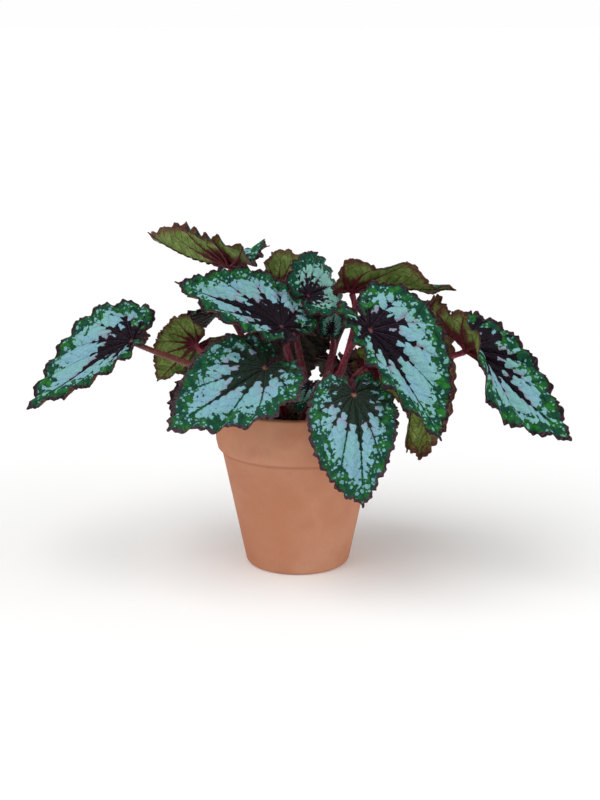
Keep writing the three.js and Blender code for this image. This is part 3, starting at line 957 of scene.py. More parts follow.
@dataclass
class Soil:
    """The potting mix: a crumbly filling with loose crumbs on top."""

    pot: Pot
    level: float = 134 * MM
    edge_drop: float = 3 * MM
    edge_gap: float = 0.8 * MM
    mound: float = 7 * MM
    mound_radius: float = 66 * MM
    lump: float = 1.6 * MM
    gap: float = 0.35 * MM
    waves: tuple = ((9, 0.5), (5, 0.45), (3, 0.4), (1.8, 0.3))
    crumbs: int = 420
    crumb_radii: tuple = (0.7 * MM, 2.1 * MM)
    crease_angle: float = 50
    seed: int = 5

    def height(self, x: Array, y: Array) -> Array:
        """The height of its broad surface.

        Args:
            x, y: places.

        Returns:
            The height at each of them.
        """
        rise = self.mound * (1 - np.minimum(1, np.hypot(x, y) / self.mound_radius) ** 2)
        a, b = x / MM, y / MM
        lumps = np.sin(a * 0.31 + 1.3) * np.cos(b * 0.27) + 0.6 * np.sin(a * 0.17 - b * 0.43)
        return self.level + rise + self.lump * lumps

    def crumble(self, x: Array, y: Array) -> Array:
        """The fine roughness of its surface, from waves of several lengths and depths.

        Args:
            x, y: places.

        Returns:
            What it adds to the height at each of them.
        """
        random = np.random.default_rng(self.seed)
        total = np.zeros_like(x)
        for size, depth in self.waves:
            for _ in range(5):
                angle, phase = random.uniform(0, TURN, 2)
                wave = (x * math.cos(angle) + y * math.sin(angle)) / (size * MM) * TURN
                total += depth * MM * np.sin(wave + phase + 2 * np.sin(wave * 0.37 + phase)) / 2.2
        return total

    def build(self) -> None:
        """Shape the filling, strew the crumbs and dress them."""
        pot = self.pot
        edge = self.level - self.edge_drop
        foot = pot.foot_radius - pot.wall - self.gap
        bottom = pot.floor + self.gap
        top = pot.inner_radius(self.level) - self.edge_gap
        rim, shoulder = 0.8, 0.88
        stops = [0, rim, 0.84, shoulder, 0.91, 0.95, 0.97, 1]
        waist = pot.body_radius - pot.wall - self.gap
        radii = [0, top * 0.985, top, pot.inner_radius(edge) - self.gap, waist, foot,
                 foot - pot.inner_chamfer, 0]
        levels = [edge, pot.knee, bottom + pot.inner_chamfer, bottom, bottom]

        def shape(u: Array, v: Array) -> Array:
            """From the middle of the surface outwards, down and back to the middle of the floor.

            Args:
                u: shares of a turn.
                v: shares of the way.

            Returns:
                The points.
            """
            radius = np.interp(v, stops, radii)
            angle = TURN * closed_turn(u)
            x, y = radius * np.cos(angle), radius * np.sin(angle)
            surface = self.height(x, y) + self.crumble(x, y) * (1 - smoothstep(v, 0.74, rim))
            down = np.clip((v - rim) / (shoulder - rim), 0, 1)
            z = np.where(v < shoulder, surface * (1 - down) + edge * down, np.interp(v, stops[3:], levels))
            return np.stack([x, y, z], axis=1)

        piece = shaped_grid("soil_mix", 150, 100, shape, closed=True)
        join(piece, self.scatter(top - 2 * MM))
        smooth(piece, self.crease_angle)
        piece.data.materials.append(SoilFinish().material())
        finish_piece(piece, "soil")

    def scatter(self, reach: float) -> Piece:
        """Loose crumbs, each a dented ball of a few faces.

        Args:
            reach: how far from the middle they lie.

        Returns:
            One object that holds them all.
        """
        random = np.random.default_rng(self.seed + 1)
        spots = []
        for _ in range(self.crumbs):
            radius = reach * math.sqrt(random.uniform())
            angle = random.uniform(0, TURN)
            size = random.uniform(*self.crumb_radii)
            spots.append((radius * math.cos(angle), radius * math.sin(angle), size))
        bpy.ops.mesh.primitive_ico_sphere_add(subdivisions=1, radius=1)
        ball, faces = take_model()
        crumbs = []
        for x, y, size in spots:
            scale = random.uniform(0.6, 1.25, 3) * size
            dents = random.uniform(0.75, 1.2, (len(ball), 1))
            crumbs.append(ball * dents * scale + [x, y, self.height(x, y) + 0.35 * size])
        return swarm("crumbs", np.array(crumbs), faces)


def curve_frames(points: Array) -> tuple[Array, Array, Array]:
    """Three unit vectors at each point of a curve, without twist.

    Args:
        points: the curve.

    Returns:
        The directions along it and two across it.
    """
    tangents = unit(np.gradient(points, axis=0))
    helper = np.array([1.0, 0, 0]) if abs(tangents[0][0]) < 0.8 else np.array([0, 1.0, 0])
    first = [unit(helper - tangents[0] * (helper @ tangents[0]))]
    for tangent in tangents[1:]:
        first.append(unit(first[-1] - tangent * (first[-1] @ tangent)))
    return tangents, np.array(first), np.cross(tangents, first)


def tube(name: str, path: Array, radius: Surface, columns: int) -> Piece:
    """A closed round bar along a path, drawn in to a point at each end.

    Args:
        name: the piece's name.
        path: the points of its middle line, one for each row.
        radius: gives the radius for u (round it) and v (along it), both 0 to 1.
        columns: faces round it.

    Returns:
        The new object, with its u and v stored as around and along.
    """
    rows = len(path) - 1
    _, first, second = curve_frames(path)

    def shape(u: Array, v: Array) -> Array:
        """The bar's surface.

        Args:
            u: shares of a turn round it.
            v: shares of the way along it.

        Returns:
            The points.
        """
        index = np.rint(v * rows).astype(int)
        share = closed_turn(u)
        size = np.where((index == 0) | (index == rows), 0, radius(share, v))[:, None]
        angle = TURN * share[:, None]
        return path[index] + first[index] * size * np.cos(angle) + second[index] * size * np.sin(angle)

    return shaped_grid(name, columns, rows, shape, closed=True,
                       numbers=lambda u, v: {"around": np.sin(np.pi * u), "along": v})


def spline(knots: Array, steps: int) -> Array:
    """A smooth curve through some knots.

    Args:
        knots: the points that it passes.
        steps: how many equal steps it is cut into.

    Returns:
        Its points.
    """
    p = np.vstack([2 * knots[0] - knots[1], knots, 2 * knots[-1] - knots[-2]])
    dense = []
    for a, b, c, d in zip(p, p[1:], p[2:], p[3:]):
        for t in np.linspace(0, 1, 60, endpoint=False):
            dense.append(0.5 * (2 * b + (c - a) * t + (2 * a - 5 * b + 4 * c - d) * t**2
                                + (3 * b - a - 3 * c + d) * t**3))
    return even(np.array([*dense, knots[-1]]), steps)


def even(dense: Array, steps: int) -> Array:
    """A line cut into equal steps.

    Args:
        dense: its points, close together.
        steps: how many steps it is cut into.

    Returns:
        The ends of the steps.
    """
    length = np.concatenate([[0], np.cumsum(np.linalg.norm(np.diff(dense, axis=0), axis=1))])
    at = np.linspace(0, length[-1], steps + 1)
    return np.stack([np.interp(at, length, dense[:, k]) for k in range(3)], axis=1)


@dataclass
class Rhizome:
    """The creeping stem: knobbly, ringed with old leaf scars. Its sizes are in millimetres."""

    level: float = 138
    main_radii: tuple = (5, 8, 7, 9, 7.5, 8.5, 5)
    branch_radii: tuple = (6, 7.5, 6, 7, 4.5)
    columns: int = 28

    def build(self) -> None:
        """Make both stems and dress them."""
        h = self.level
        main = [(-34, 4, h - 4), (-14, -6, h + 1), (10, -2, h + 3), (34, 6, h - 3)]
        branch = [(6, -2, h), (4, 16, h + 2), (-4, 34, h - 4)]
        piece = self.stem("rhizome_stem", main, self.main_radii, 90)
        join(piece, self.stem("rhizome_branch", branch, self.branch_radii, 60))
        smooth(piece)
        piece.data.materials.append(BarkFinish().material())
        finish_piece(piece, "rhizome")

    def stem(self, name: str, knots: list, radii: tuple, steps: int) -> Piece:
        """One stem, with rings and dents.

        Args:
            name: the piece's name.
            knots: the points that it passes, in millimetres.
            radii: its radius at equal steps, in millimetres.
            steps: faces along it.

        Returns:
            The new object.
        """
        places = np.linspace(0, 1, len(radii))

        def radius(u: Array, v: Array) -> Array:
            """The stem, with rings and knobs.

            Args:
                u: shares of a turn round it.
                v: shares of the way along it.

            Returns:
                The radii.
            """
            ends = np.clip(np.minimum(v, 1 - v) / 0.05, 0, 1) ** 0.5
            rings = 0.5 * np.abs(np.sin(v * steps * 0.33)) ** 3
            knobs = 0.5 * np.sin(TURN * u * 3 + v * 21) * np.sin(v * 17 + 1)
            return (np.interp(v, places, radii) * ends + rings + knobs - 0.4) * MM

        return tube(name, spline(np.array(knots) * MM, steps), radius, self.columns)


# ---------------- leaves
MAIN_VEINS = np.array([0, 21, 46, 78, 114, 150, 172.0])
STAR_REACH = np.array([0.62, 0.4, 0.36, 0.31, 0.28, 0.24, 0.2])
OUTLINE = np.array([
    [0, 1.0], [6, 0.9], [14, 0.8], [26, 0.69], [42, 0.59], [60, 0.51],
    [85, 0.44], [112, 0.405], [135, 0.385], [152, 0.34], [164, 0.27], [172, 0.17],
])
SPAN = math.radians(172)
LAST_DEGREES = 171.999
CROWDING = 1.25
SWEEP = 0.22
TEETH = 16
TOOTH = 0.035
TOOTH_SIZES = 128
FINE_TEETH = 29
FINE_TOOTH = 0.007
WAVES = 8
RUFFLE = 0.03
FRILLS = 21
FRILL = 0.005
FINE_FRILLS = 49
FINE_FRILL = 0.003
PUCKER = 0.022
RIB_RELIEF = 0.005
RIB_STEP = 0.082
RIB_SLANT = 0.95
EDGE_STEP = 0.012
EDGE_POINTS = 181
ROW_CROWDING = 0.85
STALK_FOOT = 125
STALK_RADIUS = 3.45
STALK_TAPER = 1.0
STALK_STEPS = 72
STALK_COLUMNS = 20


def add_hair(piece: Piece, hair: Piece, finish: Material) -> None:
    """Join hairs to a piece, in their own finish."""
    hair.data.materials.append(finish)
    join(piece, hair)


@dataclass
class Leaf:
    """One leaf: where its blade starts and points, how it folds, and where its stalk rises.

    Lengths are in millimetres and angles in degrees, as in the table of leaves. stalk_hairs is how
    many hairs there are to a millimetre of the stalk.
    """

    name: str
    junction: tuple
    tip: tuple
    foot: tuple
    roll: float = 0
    droop: float = 30
    hook: float = 0
    left: tuple = (8, 8)
    right: tuple = (8, 8)
    curl: float = 0
    twist: float = 0
    skew: float = 0.08
    width: tuple = (1, 1)
    lobes: tuple = (1, 1)
    full: tuple = (0, 0)
    phase: float = 0.8
    waves: int = WAVES
    waviness: float = 1
    bow: float = 0.4
    arrive: float = 0.6
    age: Age = Age.MATURE
    star: float = 1
    stalk: str = "crimson"
    columns: int = 400
    rows: int = 40
    thickness: float = 2.0
    thinnest: float = 0.28
    margin_hairs: int = 330
    stalk_hairs: float = 3.2
    seed: int = field(init=False, default=0)

    def __post_init__(self) -> None:
        """Work out the blade's own axes and length."""
        self.seed = sum(ord(letter) * (i + 3) for i, letter in enumerate(self.name)) % 997
        self.start = np.array(self.junction, float) * MM
        chord = np.array(self.tip, float) * MM - self.start
        forward, up, _ = self.midrib(np.array(1.0))
        self.length = float(np.linalg.norm(chord) / math.hypot(forward, up))
        along = unit(chord)
        upper = unit(np.array([0, 0, 1.0]) - along * along[2])
        turn = math.radians(self.roll)
        upper = upper * math.cos(turn) + np.cross(along, upper) * math.sin(turn)
        rise = math.atan2(up, forward)
        self.y = along * math.cos(rise) - upper * math.sin(rise)
        self.z = along * math.sin(rise) + upper * math.cos(rise)
        self.x = np.cross(self.y, self.z)
        self.random = np.random.default_rng(self.seed)
        self.tooth_sizes = self.random.uniform(0.5, 1.4, TOOTH_SIZES)

    def midrib(self, u: Array) -> tuple[Array, Array, Array]:
        """The midrib, from the stalk to the tip.

        Args:
            u: places along it, in leaf lengths.

        Returns:
            How far forward and how far up each place is, in leaf lengths, and its slope.
        """
        droop, hook = math.radians(self.droop), math.radians(self.hook)

        def slope(v: Array) -> Array:
            """How steeply it falls."""
            return -(droop * v + hook * np.maximum(0, v) ** 4)

        forward, up = np.zeros_like(u), np.zeros_like(u)
        parts = 12
        for i in range(parts):
            middle = slope(u * (i + 0.5) / parts)
            forward = forward + np.cos(middle) * u / parts
            up = up + np.sin(middle) * u / parts
        return forward, up, slope(u)

    def reach(self, angle: Array) -> Array:
        """How far the edge reaches at an angle, as a share of the length."""
        degrees = np.abs(np.degrees(angle))
        return np.interp(degrees, OUTLINE[:, 0], OUTLINE[:, 1]) * (1 + self.skew * np.sin(angle))

    def radial(self, t: Array) -> Array:
        """The angle at which the radial line t, from -1 to 1, leaves the junction."""
        return np.sign(t) * np.abs(t) ** CROWDING * SPAN

    def sector(self, t: Array) -> tuple[Array, Array, Array]:
        """The stretch between two main veins in which a radial line lies.

        Args:
            t: radial lines.

        Returns:
            The share of the way across it, the number of its first vein and its width.
        """
        degrees = np.clip(np.abs(np.degrees(self.radial(t))), 0, LAST_DEGREES)
        k = np.searchsorted(MAIN_VEINS, degrees, side="right") - 1
        width = MAIN_VEINS[k + 1] - MAIN_VEINS[k]
        return (degrees - MAIN_VEINS[k]) / width, k, np.radians(width)

    def teeth(self, t: Array, rho: Array) -> Array:
        """The rounded teeth of the margin, large and fine.

        Args:
            t: radial lines.
            rho: shares of the way along them.

        Returns:
            How far they stand out, in leaf lengths.
        """
        place = np.abs(t) * TEETH * 3 + np.where(t < 0, 60, 0)
        size = np.interp(place % TOOTH_SIZES, np.arange(TOOTH_SIZES), self.tooth_sizes, period=TOOTH_SIZES)
        large = TOOTH * 0.75 * size * (np.abs(np.cos(np.pi * TEETH * t)) ** 0.8 - 0.62) * rho**6
        fine = FINE_TOOTH * size * np.sin(TURN * FINE_TEETH * t + 2 * size) * rho**14
        return large + fine * smoothstep(np.abs(t), 0.005, 0.03)

    def flat(self, t: Array, rho: Array, toothed: bool = True) -> tuple[Array, Array]:
        """The place on the flat leaf.

        Args:
            t: radial lines.
            rho: shares of the way along them.
            toothed: whether the margin has its teeth.

        Returns:
            How far across and along each place is, in leaf lengths.
        """
        begin = self.radial(t)
        angle = begin - SWEEP * np.sin(begin) * rho
        edge_angle = begin - SWEEP * np.sin(begin)
        width, lobes, full = (np.where(begin < 0, *sides) for sides in (self.width, self.lobes, self.full))
        degrees = np.abs(np.degrees(edge_angle))
        size = 1 + (lobes - 1) * smoothstep(degrees, 70, 130)
        edge = self.reach(edge_angle) + full * smoothstep(degrees, 0, 14) * (1 - smoothstep(degrees, 30, 80))
        radius = rho * size * edge
        across, along = radius * np.sin(angle) * width, radius * np.cos(angle)
        if toothed:
            bite = self.teeth(t, rho)
            outward = self.outward(t)
            across, along = across + bite * outward[0], along + bite * outward[1]
        return across, along

    def outward(self, t: Array) -> tuple[Array, Array]:
        """The direction out of the margin.

        Args:
            t: radial lines.

        Returns:
            How far across and along it goes where each of them ends, as a unit vector.
        """
        ends = np.clip([t - EDGE_STEP, t + EDGE_STEP], -1, 1)
        (x0, y0), (x1, y1) = (self.flat(end, np.ones_like(end), toothed=False) for end in ends)
        size = np.maximum(np.hypot(x1 - x0, y1 - y0), 1e-9)
        return (y0 - y1) / size, (x1 - x0) / size

    def ribs(self, t: Array, rho: Array) -> Array:
        """The phase of the side veins.

        Args:
            t: radial lines.
            rho: shares of the way along them.

        Returns:
            A whole number on each side vein, and the numbers between them elsewhere.
        """
        out = np.hypot(*self.flat(t, rho, toothed=False))
        share, _, width = self.sector(t)
        return (out - RIB_SLANT * np.minimum(share, 1 - share) * width * out) / RIB_STEP

    def relief(self, t: Array, rho: Array) -> Array:
        """The ruffles, frills, puckers and ribs of the surface.

        Args:
            t: radial lines.
            rho: shares of the way along them.

        Returns:
            How far they stand over the plain blade, in leaf lengths.
        """
        share, _, _ = self.sector(t)
        calm = 1 - 0.7 * np.exp(-((t / 0.08) ** 2))
        ruffle = RUFFLE * self.waviness * np.sin(TURN * self.waves * t + self.phase) * rho**3
        drift = 1.6 * np.sin(TURN * 5.3 * t + self.phase)
        frill = FRILL * np.sin(TURN * FRILLS * t + self.phase * 3 + drift) * rho**7
        fine = FINE_FRILL * np.sin(TURN * FINE_FRILLS * t + self.phase * 7 - drift) * rho**11
        pucker = PUCKER * np.sin(np.pi * share) * np.sin(np.pi * rho**0.8)
        rib = RIB_RELIEF * (np.abs(np.sin(np.pi * self.ribs(t, rho))) - 0.5)
        return (ruffle + frill + fine) * calm + pucker + rib * smoothstep(rho, 0.1, 0.3) * (1 - rho**6)

    def point(self, t: Array, rho: Array) -> Array:
        """The blade's surface: the flat leaf folded at its midrib, curled, twisted and bent down.

        Args:
            t: radial lines.
            rho: shares of the way along them.

        Returns:
            The points.
        """
        across, u = self.flat(t, rho)
        height = self.length * self.relief(t, rho)
        left, right = np.radians(self.left), np.radians(self.right)
        share = smoothstep(u, -0.1, 0.7)
        near, far = np.where(t < 0, left[:, None], right[:, None])
        fold = near + (far - near) * share
        lateral = np.abs(across) * self.length
        lift = fold + math.radians(self.curl) * np.abs(across)
        forward, up, slope = self.midrib(u)
        turn = math.radians(self.twist) * u
        side = np.sign(across) * (lateral * np.cos(lift) - height * np.sin(lift))
        rise = lateral * np.sin(lift) + height * np.cos(lift)
        side, rise = side * np.cos(turn) - rise * np.sin(turn), side * np.sin(turn) + rise * np.cos(turn)
        return (
            self.start
            + side[:, None] * self.x
            + (forward * self.length - rise * np.sin(slope))[:, None] * self.y
            + (up * self.length + rise * np.cos(slope))[:, None] * self.z
        )

    def edge_distance(self, across: Array, along: Array) -> Array:
        """How far each flat place is from the margin.

        Args:
            across, along: the places, in leaf lengths.

        Returns:
            The distances, in leaf lengths.
        """
        t = np.linspace(-1, 1, EDGE_POINTS)
        margin = np.array(self.flat(t, np.ones_like(t), toothed=False))
        notch = np.array(self.flat(np.array([-1.0, 1.0]), np.array([0.25, 0.25]), toothed=False))
        x, y = np.hstack([notch[:, :1], margin, notch[:, 1:]])
        best = np.full(len(across), np.inf)
        for i in range(len(x) - 1):
            dx, dy = x[i + 1] - x[i], y[i + 1] - y[i]
            share = np.clip(((across - x[i]) * dx + (along - y[i]) * dy) / (dx * dx + dy * dy), 0, 1)
            best = np.minimum(best, np.hypot(across - x[i] - share * dx, along - y[i] - share * dy))
        return best

    def numbers(self, t: Array, rho: Array) -> dict[str, Array]:
        """What the leaf's pattern is painted from.

        Args:
            t: radial lines.
            rho: shares of the way along them.

        Returns:
            The values by name.
        """
        across, along = self.flat(t, rho, toothed=False)
        out = np.hypot(across, along)
        share, k, width = self.sector(t)
        reach = STAR_REACH[k] + (STAR_REACH[k + 1] - STAR_REACH[k]) * share
        recess = np.sin(np.pi * share) ** 0.8
        return {
            "star": out - self.star * reach * (1 - 0.42 * recess),
            "edge": self.edge_distance(across, along),
            "vein": np.minimum(share, 1 - share) * width * out,
            "ribs": self.ribs(t, rho),
            "out": out,
        }

    def build_blade(self, materials: dict[str, Material]) -> None:
        """The blade with its raised veins beneath, its teeth and its marginal hairs.

        Args:
            materials: the finishes by name.
        """
        def polar(u: Array, v: Array) -> tuple[Array, Array]:
            """The radial line and the share along it, with rows gathered towards the margin."""
            return u * 2 - 1, v**ROW_CROWDING

        def on_flat(u: Array, v: Array) -> Array:
            """The place on the flat leaf, set apart from those of other leaves."""
            apart = self.seed * np.array([0.37, 0.59])
            return np.stack(self.flat(*polar(u, v), toothed=False), axis=1) + apart

        piece = shaped_grid(
            f"blade_{self.name}_leaf", self.columns, self.rows, lambda u, v: self.point(*polar(u, v)),
            closed=False, numbers=lambda u, v: self.numbers(*polar(u, v)), flat=on_flat,
        )
        for key in (f"upper_{self.age.value}", f"lower_{self.age.value}", "hair"):
            piece.data.materials.append(materials[key])
        self.weigh_veins(piece)
        solidify = piece.modifiers.new("thickness", "SOLIDIFY")
        solidify.thickness = self.thickness * MM
        solidify.offset = -1
        solidify.vertex_group = "veins"
        solidify.thickness_vertex_group = self.thinnest
        solidify.material_offset = 1
        only(piece)
        bpy.ops.object.modifier_apply(modifier=solidify.name)
        smooth(piece)
        add_hair(piece, self.margin_hair(), materials["hair"])
        finish_piece(piece, f"blade_{self.name}")

    def weigh_veins(self, piece: Piece) -> None:
        """Mark how thick the blade is at each vertex, most on its main veins.

        Args:
            piece: the blade, with its numbers.
        """
        mesh = piece.data

        def read(label: str) -> Array:
            """What the vertices carry.

            Args:
                label: the name of a number.

            Returns:
                Its values.
            """
            values = np.empty(len(mesh.vertices), dtype=np.float32)
            mesh.attributes[label].data.foreach_get("value", values)
            return values

        out, ribs = np.minimum(read("out"), 1), read("ribs")
        main = np.exp(-((read("vein") / (0.012 * (1.25 - out))) ** 2)) * (1 - 0.75 * out)
        side = 0.22 * np.exp(-(((ribs - np.rint(ribs)) / 0.09) ** 2))
        weight = np.clip(np.maximum(main, side), 0, 1) * smoothstep(read("edge"), 0.0, 0.03)
        group = piece.vertex_groups.new(name="veins")
        steps = 20
        levels = np.rint(weight * steps).astype(int)
        for level in range(steps + 1):
            members = np.nonzero(levels == level)[0].tolist()
            if members:
                group.add(members, level / steps, "REPLACE")

    def margin_hair(self) -> Piece:
        """Short hairs along the teeth.

        Returns:
            One object that holds them all.
        """
        t = self.random.uniform(-0.985, 0.985, self.margin_hairs)
        one = np.ones_like(t)
        roots = self.point(t, one * 0.995)
        outward = unit(roots - self.point(t, one * 0.93))
        return MARGIN_HAIR.grow(f"hair_{self.name}", roots, outward, self.random)

    def stalk_line(self) -> Array:
        """The petiole's middle line, from under the soil into the blade's underside.

        Returns:
            Its points, at equal steps.
        """
        foot = np.array([*self.foot, STALK_FOOT]) * MM
        arrive = unit(self.z + self.y * self.arrive)
        solid_end = self.start - arrive * 1.5 * MM
        span = np.linalg.norm(solid_end - foot)
        lean = (solid_end - foot) * 0.35 / span
        leave = unit(np.array([lean[0], lean[1], 1.0]))
        a, b, c, d = foot, foot + leave * span * self.bow, solid_end - arrive * span * 0.3, solid_end
        s = np.linspace(0, 1, 200)[:, None]
        dense = (1 - s) ** 3 * a + 3 * (1 - s) ** 2 * s * b + 3 * (1 - s) * s**2 * c + s**3 * d
        return even(np.vstack([dense, self.start - arrive * 0.5 * MM]), STALK_STEPS)

    def build_petiole(self, materials: dict[str, Material]) -> None:
        """The petiole: a fleshy stalk with stiff hairs.

        Args:
            materials: the finishes by name.
        """
        path = self.stalk_line()

        def radius(u: Array, v: Array) -> Array:
            """The stalk: thicker at the foot, waisted, and flared under the blade.

            Args:
                u: shares of a turn round it.
                v: shares of the way along it.

            Returns:
                The radii.
            """
            foot = 0.5 * np.exp(-((v - 0.04) / 0.06) ** 2)
            flare = 0.5 * smoothstep(v, 0.93, 1.0)
            ridge = 0.09 * np.sin(TURN * u * 5 + self.phase) + 0.06 * np.sin(v * 40 + self.phase)
            return (STALK_RADIUS - STALK_TAPER * v + foot + flare + ridge) * MM

        piece = tube(f"petiole_{self.name}_stalk", path, radius, STALK_COLUMNS)
        for key in (self.stalk, "hair"):
            piece.data.materials.append(materials[key])
        smooth(piece)
        add_hair(piece, self.stalk_hair(path), materials["hair"])
        finish_piece(piece, f"petiole_{self.name}")

    def stalk_hair(self, path: Array) -> Piece:
        """Hairs all round the petiole above the soil, rooted just under its skin.

        Args:
            path: its middle line.

        Returns:
            One object that holds them all.
        """
        length = np.linalg.norm(np.diff(path, axis=0), axis=1).sum()
        count = int(length / MM * self.stalk_hairs)
        tangents, first, second = curve_frames(path)
        v = self.random.uniform(0.12, 0.985, count)
        index = np.rint(v * STALK_STEPS).astype(int)
        angle = self.random.uniform(0, TURN, count)[:, None]
        normal = first[index] * np.cos(angle) + second[index] * np.sin(angle)
        radius = (STALK_RADIUS - 0.1 - STALK_TAPER * v)[:, None] * MM
        shift = self.random.uniform(-0.5, 0.5, (count, 1)) * length / STALK_STEPS
        roots = path[index] + normal * radius + tangents[index] * shift
        return STALK_HAIR.grow(f"stalk_hair_{self.name}", roots, normal, self.random)


def all_leaves() -> list[Leaf]:
    """The plant's leaves, from the photo's left to its right, then the ones at the back.

    Returns:
        The leaves.
    """
    return [
        Leaf("left_far", (-147, -4, 205), (-236, -44, 153), (-30, -2), roll=-12, droop=4, left=(22, 10),
             right=(22, 6), skew=0.14, width=(0.92, 1), lobes=(0.45, 0.92), phase=0.4, stalk="brick"),
        Leaf("left_top", (-62, 41, 265), (-143, 116, 285), (-24, 14), roll=8, droop=-22, left=(38, 50),
             right=(28, 4), skew=0.2, lobes=(1.35, 0.6), twist=-18, waviness=1.1, phase=1.9),
        Leaf("left_upper", (-14, -16, 220), (-107, -14, 260), (8, -24), roll=-38, droop=22, hook=-20,
             left=(30, 24), right=(-4, 12), skew=0.1, lobes=(0.52, 1), phase=2.6, star=1.22),
        Leaf("left_low", (-28, -38, 188), (-108, -114, 152), (-8, -22), roll=-25, droop=4, left=(22, 4),
             right=(16, 12), skew=-0.06, width=(1.02, 0.94), lobes=(0.62, 0.84), phase=1.2, age=Age.OLD),
        Leaf("left_small", (-92, 30, 195), (-131, 52, 156), (-38, 10), roll=50, droop=20, left=(10, 10),
             right=(30, 30), width=(1.3, 1.3), lobes=(1.35, 1.35), phase=0.2),
        Leaf("front_low", (48, -74, 173), (55, -118, 87), (24, -34), droop=50, left=(4, 14), right=(4, 14),
             curl=-16, twist=-20, skew=0.1, width=(0.84, 0.84), lobes=(1, 0.8), full=(0, 0.08), phase=2.2,
             age=Age.OLD),
        Leaf("front_young", (12, -40, 174), (1, -78, 158), (0, -38), left=(14, 14), right=(14, 14), phase=0.9,
             age=Age.YOUNG),
        Leaf("crown_young", (9, 24, 241), (37, 93, 238), (13, 6), roll=38, droop=28, left=(38, 40),
             right=(18, -8), skew=0, width=(1.1, 1.1), phase=3.1, age=Age.YOUNG),
        Leaf("right_front", (62, -46, 223), (120, -100, 140), (28, -14), roll=10, droop=14, left=(30, 14),
             right=(28, 20), skew=-0.18, width=(0.92, 0.92), phase=1.5, star=1.05),
        Leaf("right_top", (48, 18, 246), (142, 24, 245), (30, 13), roll=10, droop=10, left=(-4, -4),
             right=(58, 46), width=(0.9, 1), lobes=(0.6, 0.6), waves=3, waviness=2.6, arrive=-0.3,
             phase=1.25),
        Leaf("right_far", (150, -4, 196), (238, -56, 128), (38, 2), roll=22, droop=4, left=(28, 4),
             right=(76, 6), skew=0.1, width=(0.82, 0.82), twist=-12, phase=2.9, star=1.18),
        Leaf("right_hanging", (110, 25, 210), (101, 34, 92), (38, 26), roll=48, droop=12, left=(98, 94),
             right=(10, 0), skew=0.1, width=(0.7, 0.57), lobes=(0.7, 0.9), full=(0, 0.24), phase=1.0),
        Leaf("right_low", (62, -15, 184), (100, -38, 154), (40, -12), roll=-60, droop=24, left=(6, 6),
             right=(6, 6), phase=0.6),
        Leaf("crown_back", (31, 41, 206), (37, 54, 228), (18, 22), droop=20, left=(24, 24), right=(24, 24),
             width=(1.15, 1.15), phase=0.5, age=Age.YOUNG),
        Leaf("back_upright", (-17, 60, 239), (29, 113, 242), (-4, 16), roll=-28, droop=14, left=(14, 0),
             right=(72, 68), skew=0.15, twist=30, phase=2.2),
        Leaf("back_left", (-64, 60, 220), (-110, 113, 184), (-22, 30), droop=34, phase=2.4,
             age=Age.SHADED),
        Leaf("back_middle", (-11, 74, 206), (-10, 119, 124), (0, 24), droop=34, left=(10, 10), right=(0, 6),
             width=(0.84, 0.96), phase=1.7, age=Age.SHADED),
        Leaf("back_right", (47, 77, 209), (90, 122, 160), (26, 32), droop=34, left=(14, 8), phase=0.7,
             age=Age.SHADED),
        Leaf("back_low_left", (-74, 62, 164), (-118, 100, 100), (-14, 38), left=(6, 6), right=(2, 0), bow=0.5,
             phase=1.1, age=Age.SHADED),
        Leaf("back_low_right", (42, 79, 166), (66, 120, 95), (10, 44), left=(6, 6), right=(6, 6),
             lobes=(0.7, 1), phase=2.0, age=Age.SHADED),
    ]


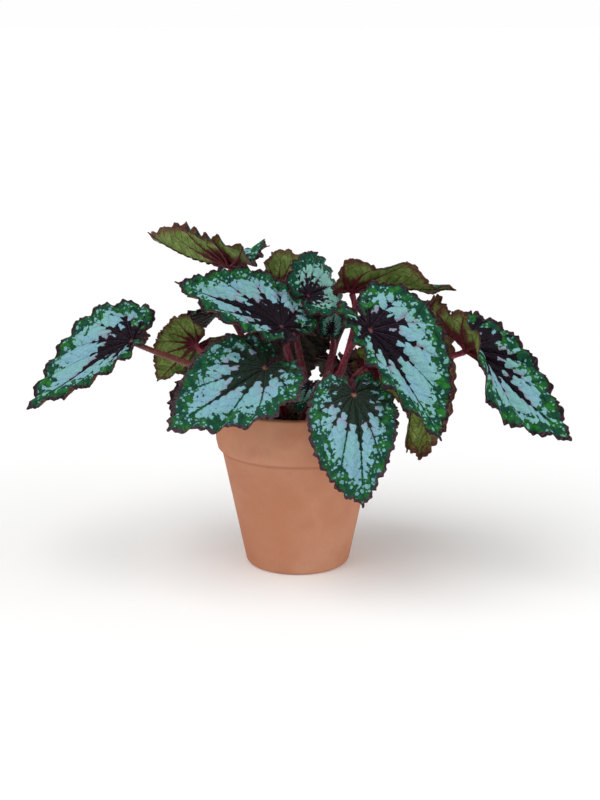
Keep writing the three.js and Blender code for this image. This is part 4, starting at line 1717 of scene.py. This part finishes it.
# ---------------- studio
@dataclass
class Studio:
    """The pale floor, the soft light and the camera."""

    elevation: float = 13.8
    distance: float = 1.4
    target: tuple = (0.0021, 0.0, 0.1505)
    lens: float = 69.93
    sky: float = 0.34
    background: float = 0.99
    floor_glow: float = 0.1
    floor_size: float = 200

    def build(self) -> None:
        """Set all of it up."""
        self.add_camera()
        self.add_floor()
        self.add_light("key_light", (-0.7, -0.45, 1.6), 70, 1.8)
        self.add_light("fill_light", (1.5, -0.45, 0.8), 70, 1.0)
        self.add_sky()
        bpy.context.scene.view_settings.view_transform = "Standard"

    def add_sky(self) -> None:
        """Even light from all round, and a white background behind the floor."""
        world = bpy.data.worlds.new("soft_sky")
        bpy.context.scene.world = world
        world.use_nodes = True
        graph = Graph(world.node_tree)
        light = graph.tree.nodes["Background"]
        behind = graph.node("ShaderNodeBackground")
        for sky, strength in ((light, self.sky), (behind, self.background)):
            sky.inputs["Color"].default_value = (1, 1, 1, 1)
            sky.inputs["Strength"].default_value = strength
        seen = graph.node("ShaderNodeLightPath").outputs["Is Camera Ray"]
        either = graph.node("ShaderNodeMixShader", {"Fac": seen, 1: light.outputs[0], 2: behind.outputs[0]})
        graph.feed(graph.tree.nodes["World Output"].inputs["Surface"], either.outputs["Shader"])

    def place(self, data: bpy.types.ID, place: Sequence[float]) -> Piece:
        """A new object in the scene.

        Args:
            data: the camera or light that it holds, whose name it takes.
            place: where it is.

        Returns:
            The object.
        """
        holder = bpy.data.objects.new(data.name, data)
        holder.location = place
        bpy.context.scene.collection.objects.link(holder)
        return holder

    def add_camera(self) -> None:
        """The camera at the photo's angle."""
        angle = math.radians(self.elevation)
        camera = bpy.data.cameras.new("camera")
        camera.lens = self.lens
        camera.sensor_width = 36
        camera.clip_start = 0.05
        x, y, z = self.target
        back, up = self.distance * math.cos(angle), self.distance * math.sin(angle)
        holder = self.place(camera, (x, y - back, z + up))
        holder.rotation_euler = (math.pi / 2 - angle, 0, 0)
        bpy.context.scene.camera = holder

    def add_floor(self) -> None:
        """A wide pale floor."""
        bpy.ops.mesh.primitive_plane_add(size=self.floor_size)
        floor = bpy.context.active_object
        floor.name = "floor"
        paint = Paint("pale_floor")
        tone = paint.noise(paint.place(), 2, 1)
        floor.data.materials.append(paint.finish(
            Base_Color=paint.mix(tone, ink(251, 251, 251), ink(253, 253, 253)), Roughness=0.9,
            Emission_Color=(1, 1, 1, 1), Emission_Strength=self.floor_glow,
        ))

    def add_light(self, name: str, place: tuple, spread: float, power: float) -> None:
        """A broad soft light that shines at the plant from afar, as a large soft box does.

        Args:
            name: its name.
            place: where it shines from.
            spread: its width as seen from the plant, in degrees.
            power: its strength.
        """
        lamp = bpy.data.lights.new(name, "SUN")
        lamp.angle = math.radians(spread)
        lamp.energy = power
        aim = Vector(self.target) - Vector(place)
        self.place(lamp, place).rotation_euler = aim.to_track_quat("-Z", "Y").to_euler()


def all_materials() -> dict[str, Material]:
    """The finishes of the leaves and their stalks.

    Returns:
        The materials by name.
    """
    zones = make_group(
        "leaf_zones", {"Jag": 1.0, "Band": 0.07, "Gap": 0.0, "Gap growth": 0.04, "Dot": 0.36},
        ["Star", "Silver", "Dot", "Margin", "Flush"], build_zones,
    )
    veins = make_group(
        "leaf_veins", {}, ["Main", "Main wide", "Rib", "Net", "Between", "Upper", "Lower"], build_veins,
    )
    materials = {
        "hair": HairFinish().material(),
        "crimson": StalkFinish("stalk_crimson", ink(146, 28, 58), ink(92, 16, 40)).material(),
        "brick": StalkFinish("stalk_brick", ink(134, 62, 48), ink(92, 36, 34)).material(),
    }
    for finish in (MATURE, OLD, YOUNG, SHADED):
        materials[f"upper_{finish.age.value}"] = finish.upper(zones, veins)
        materials[f"lower_{finish.age.value}"] = finish.lower(veins)
    return materials


def main() -> None:
    """Build the scene in order."""
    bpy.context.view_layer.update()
    Studio().build()
    pot = Pot()
    pot.build()
    Soil(pot).build()
    Rhizome().build()
    materials = all_materials()
    for leaf in all_leaves():
        leaf.build_blade(materials)
        leaf.build_petiole(materials)
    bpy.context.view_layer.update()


if __name__ == "__main__":
    main()
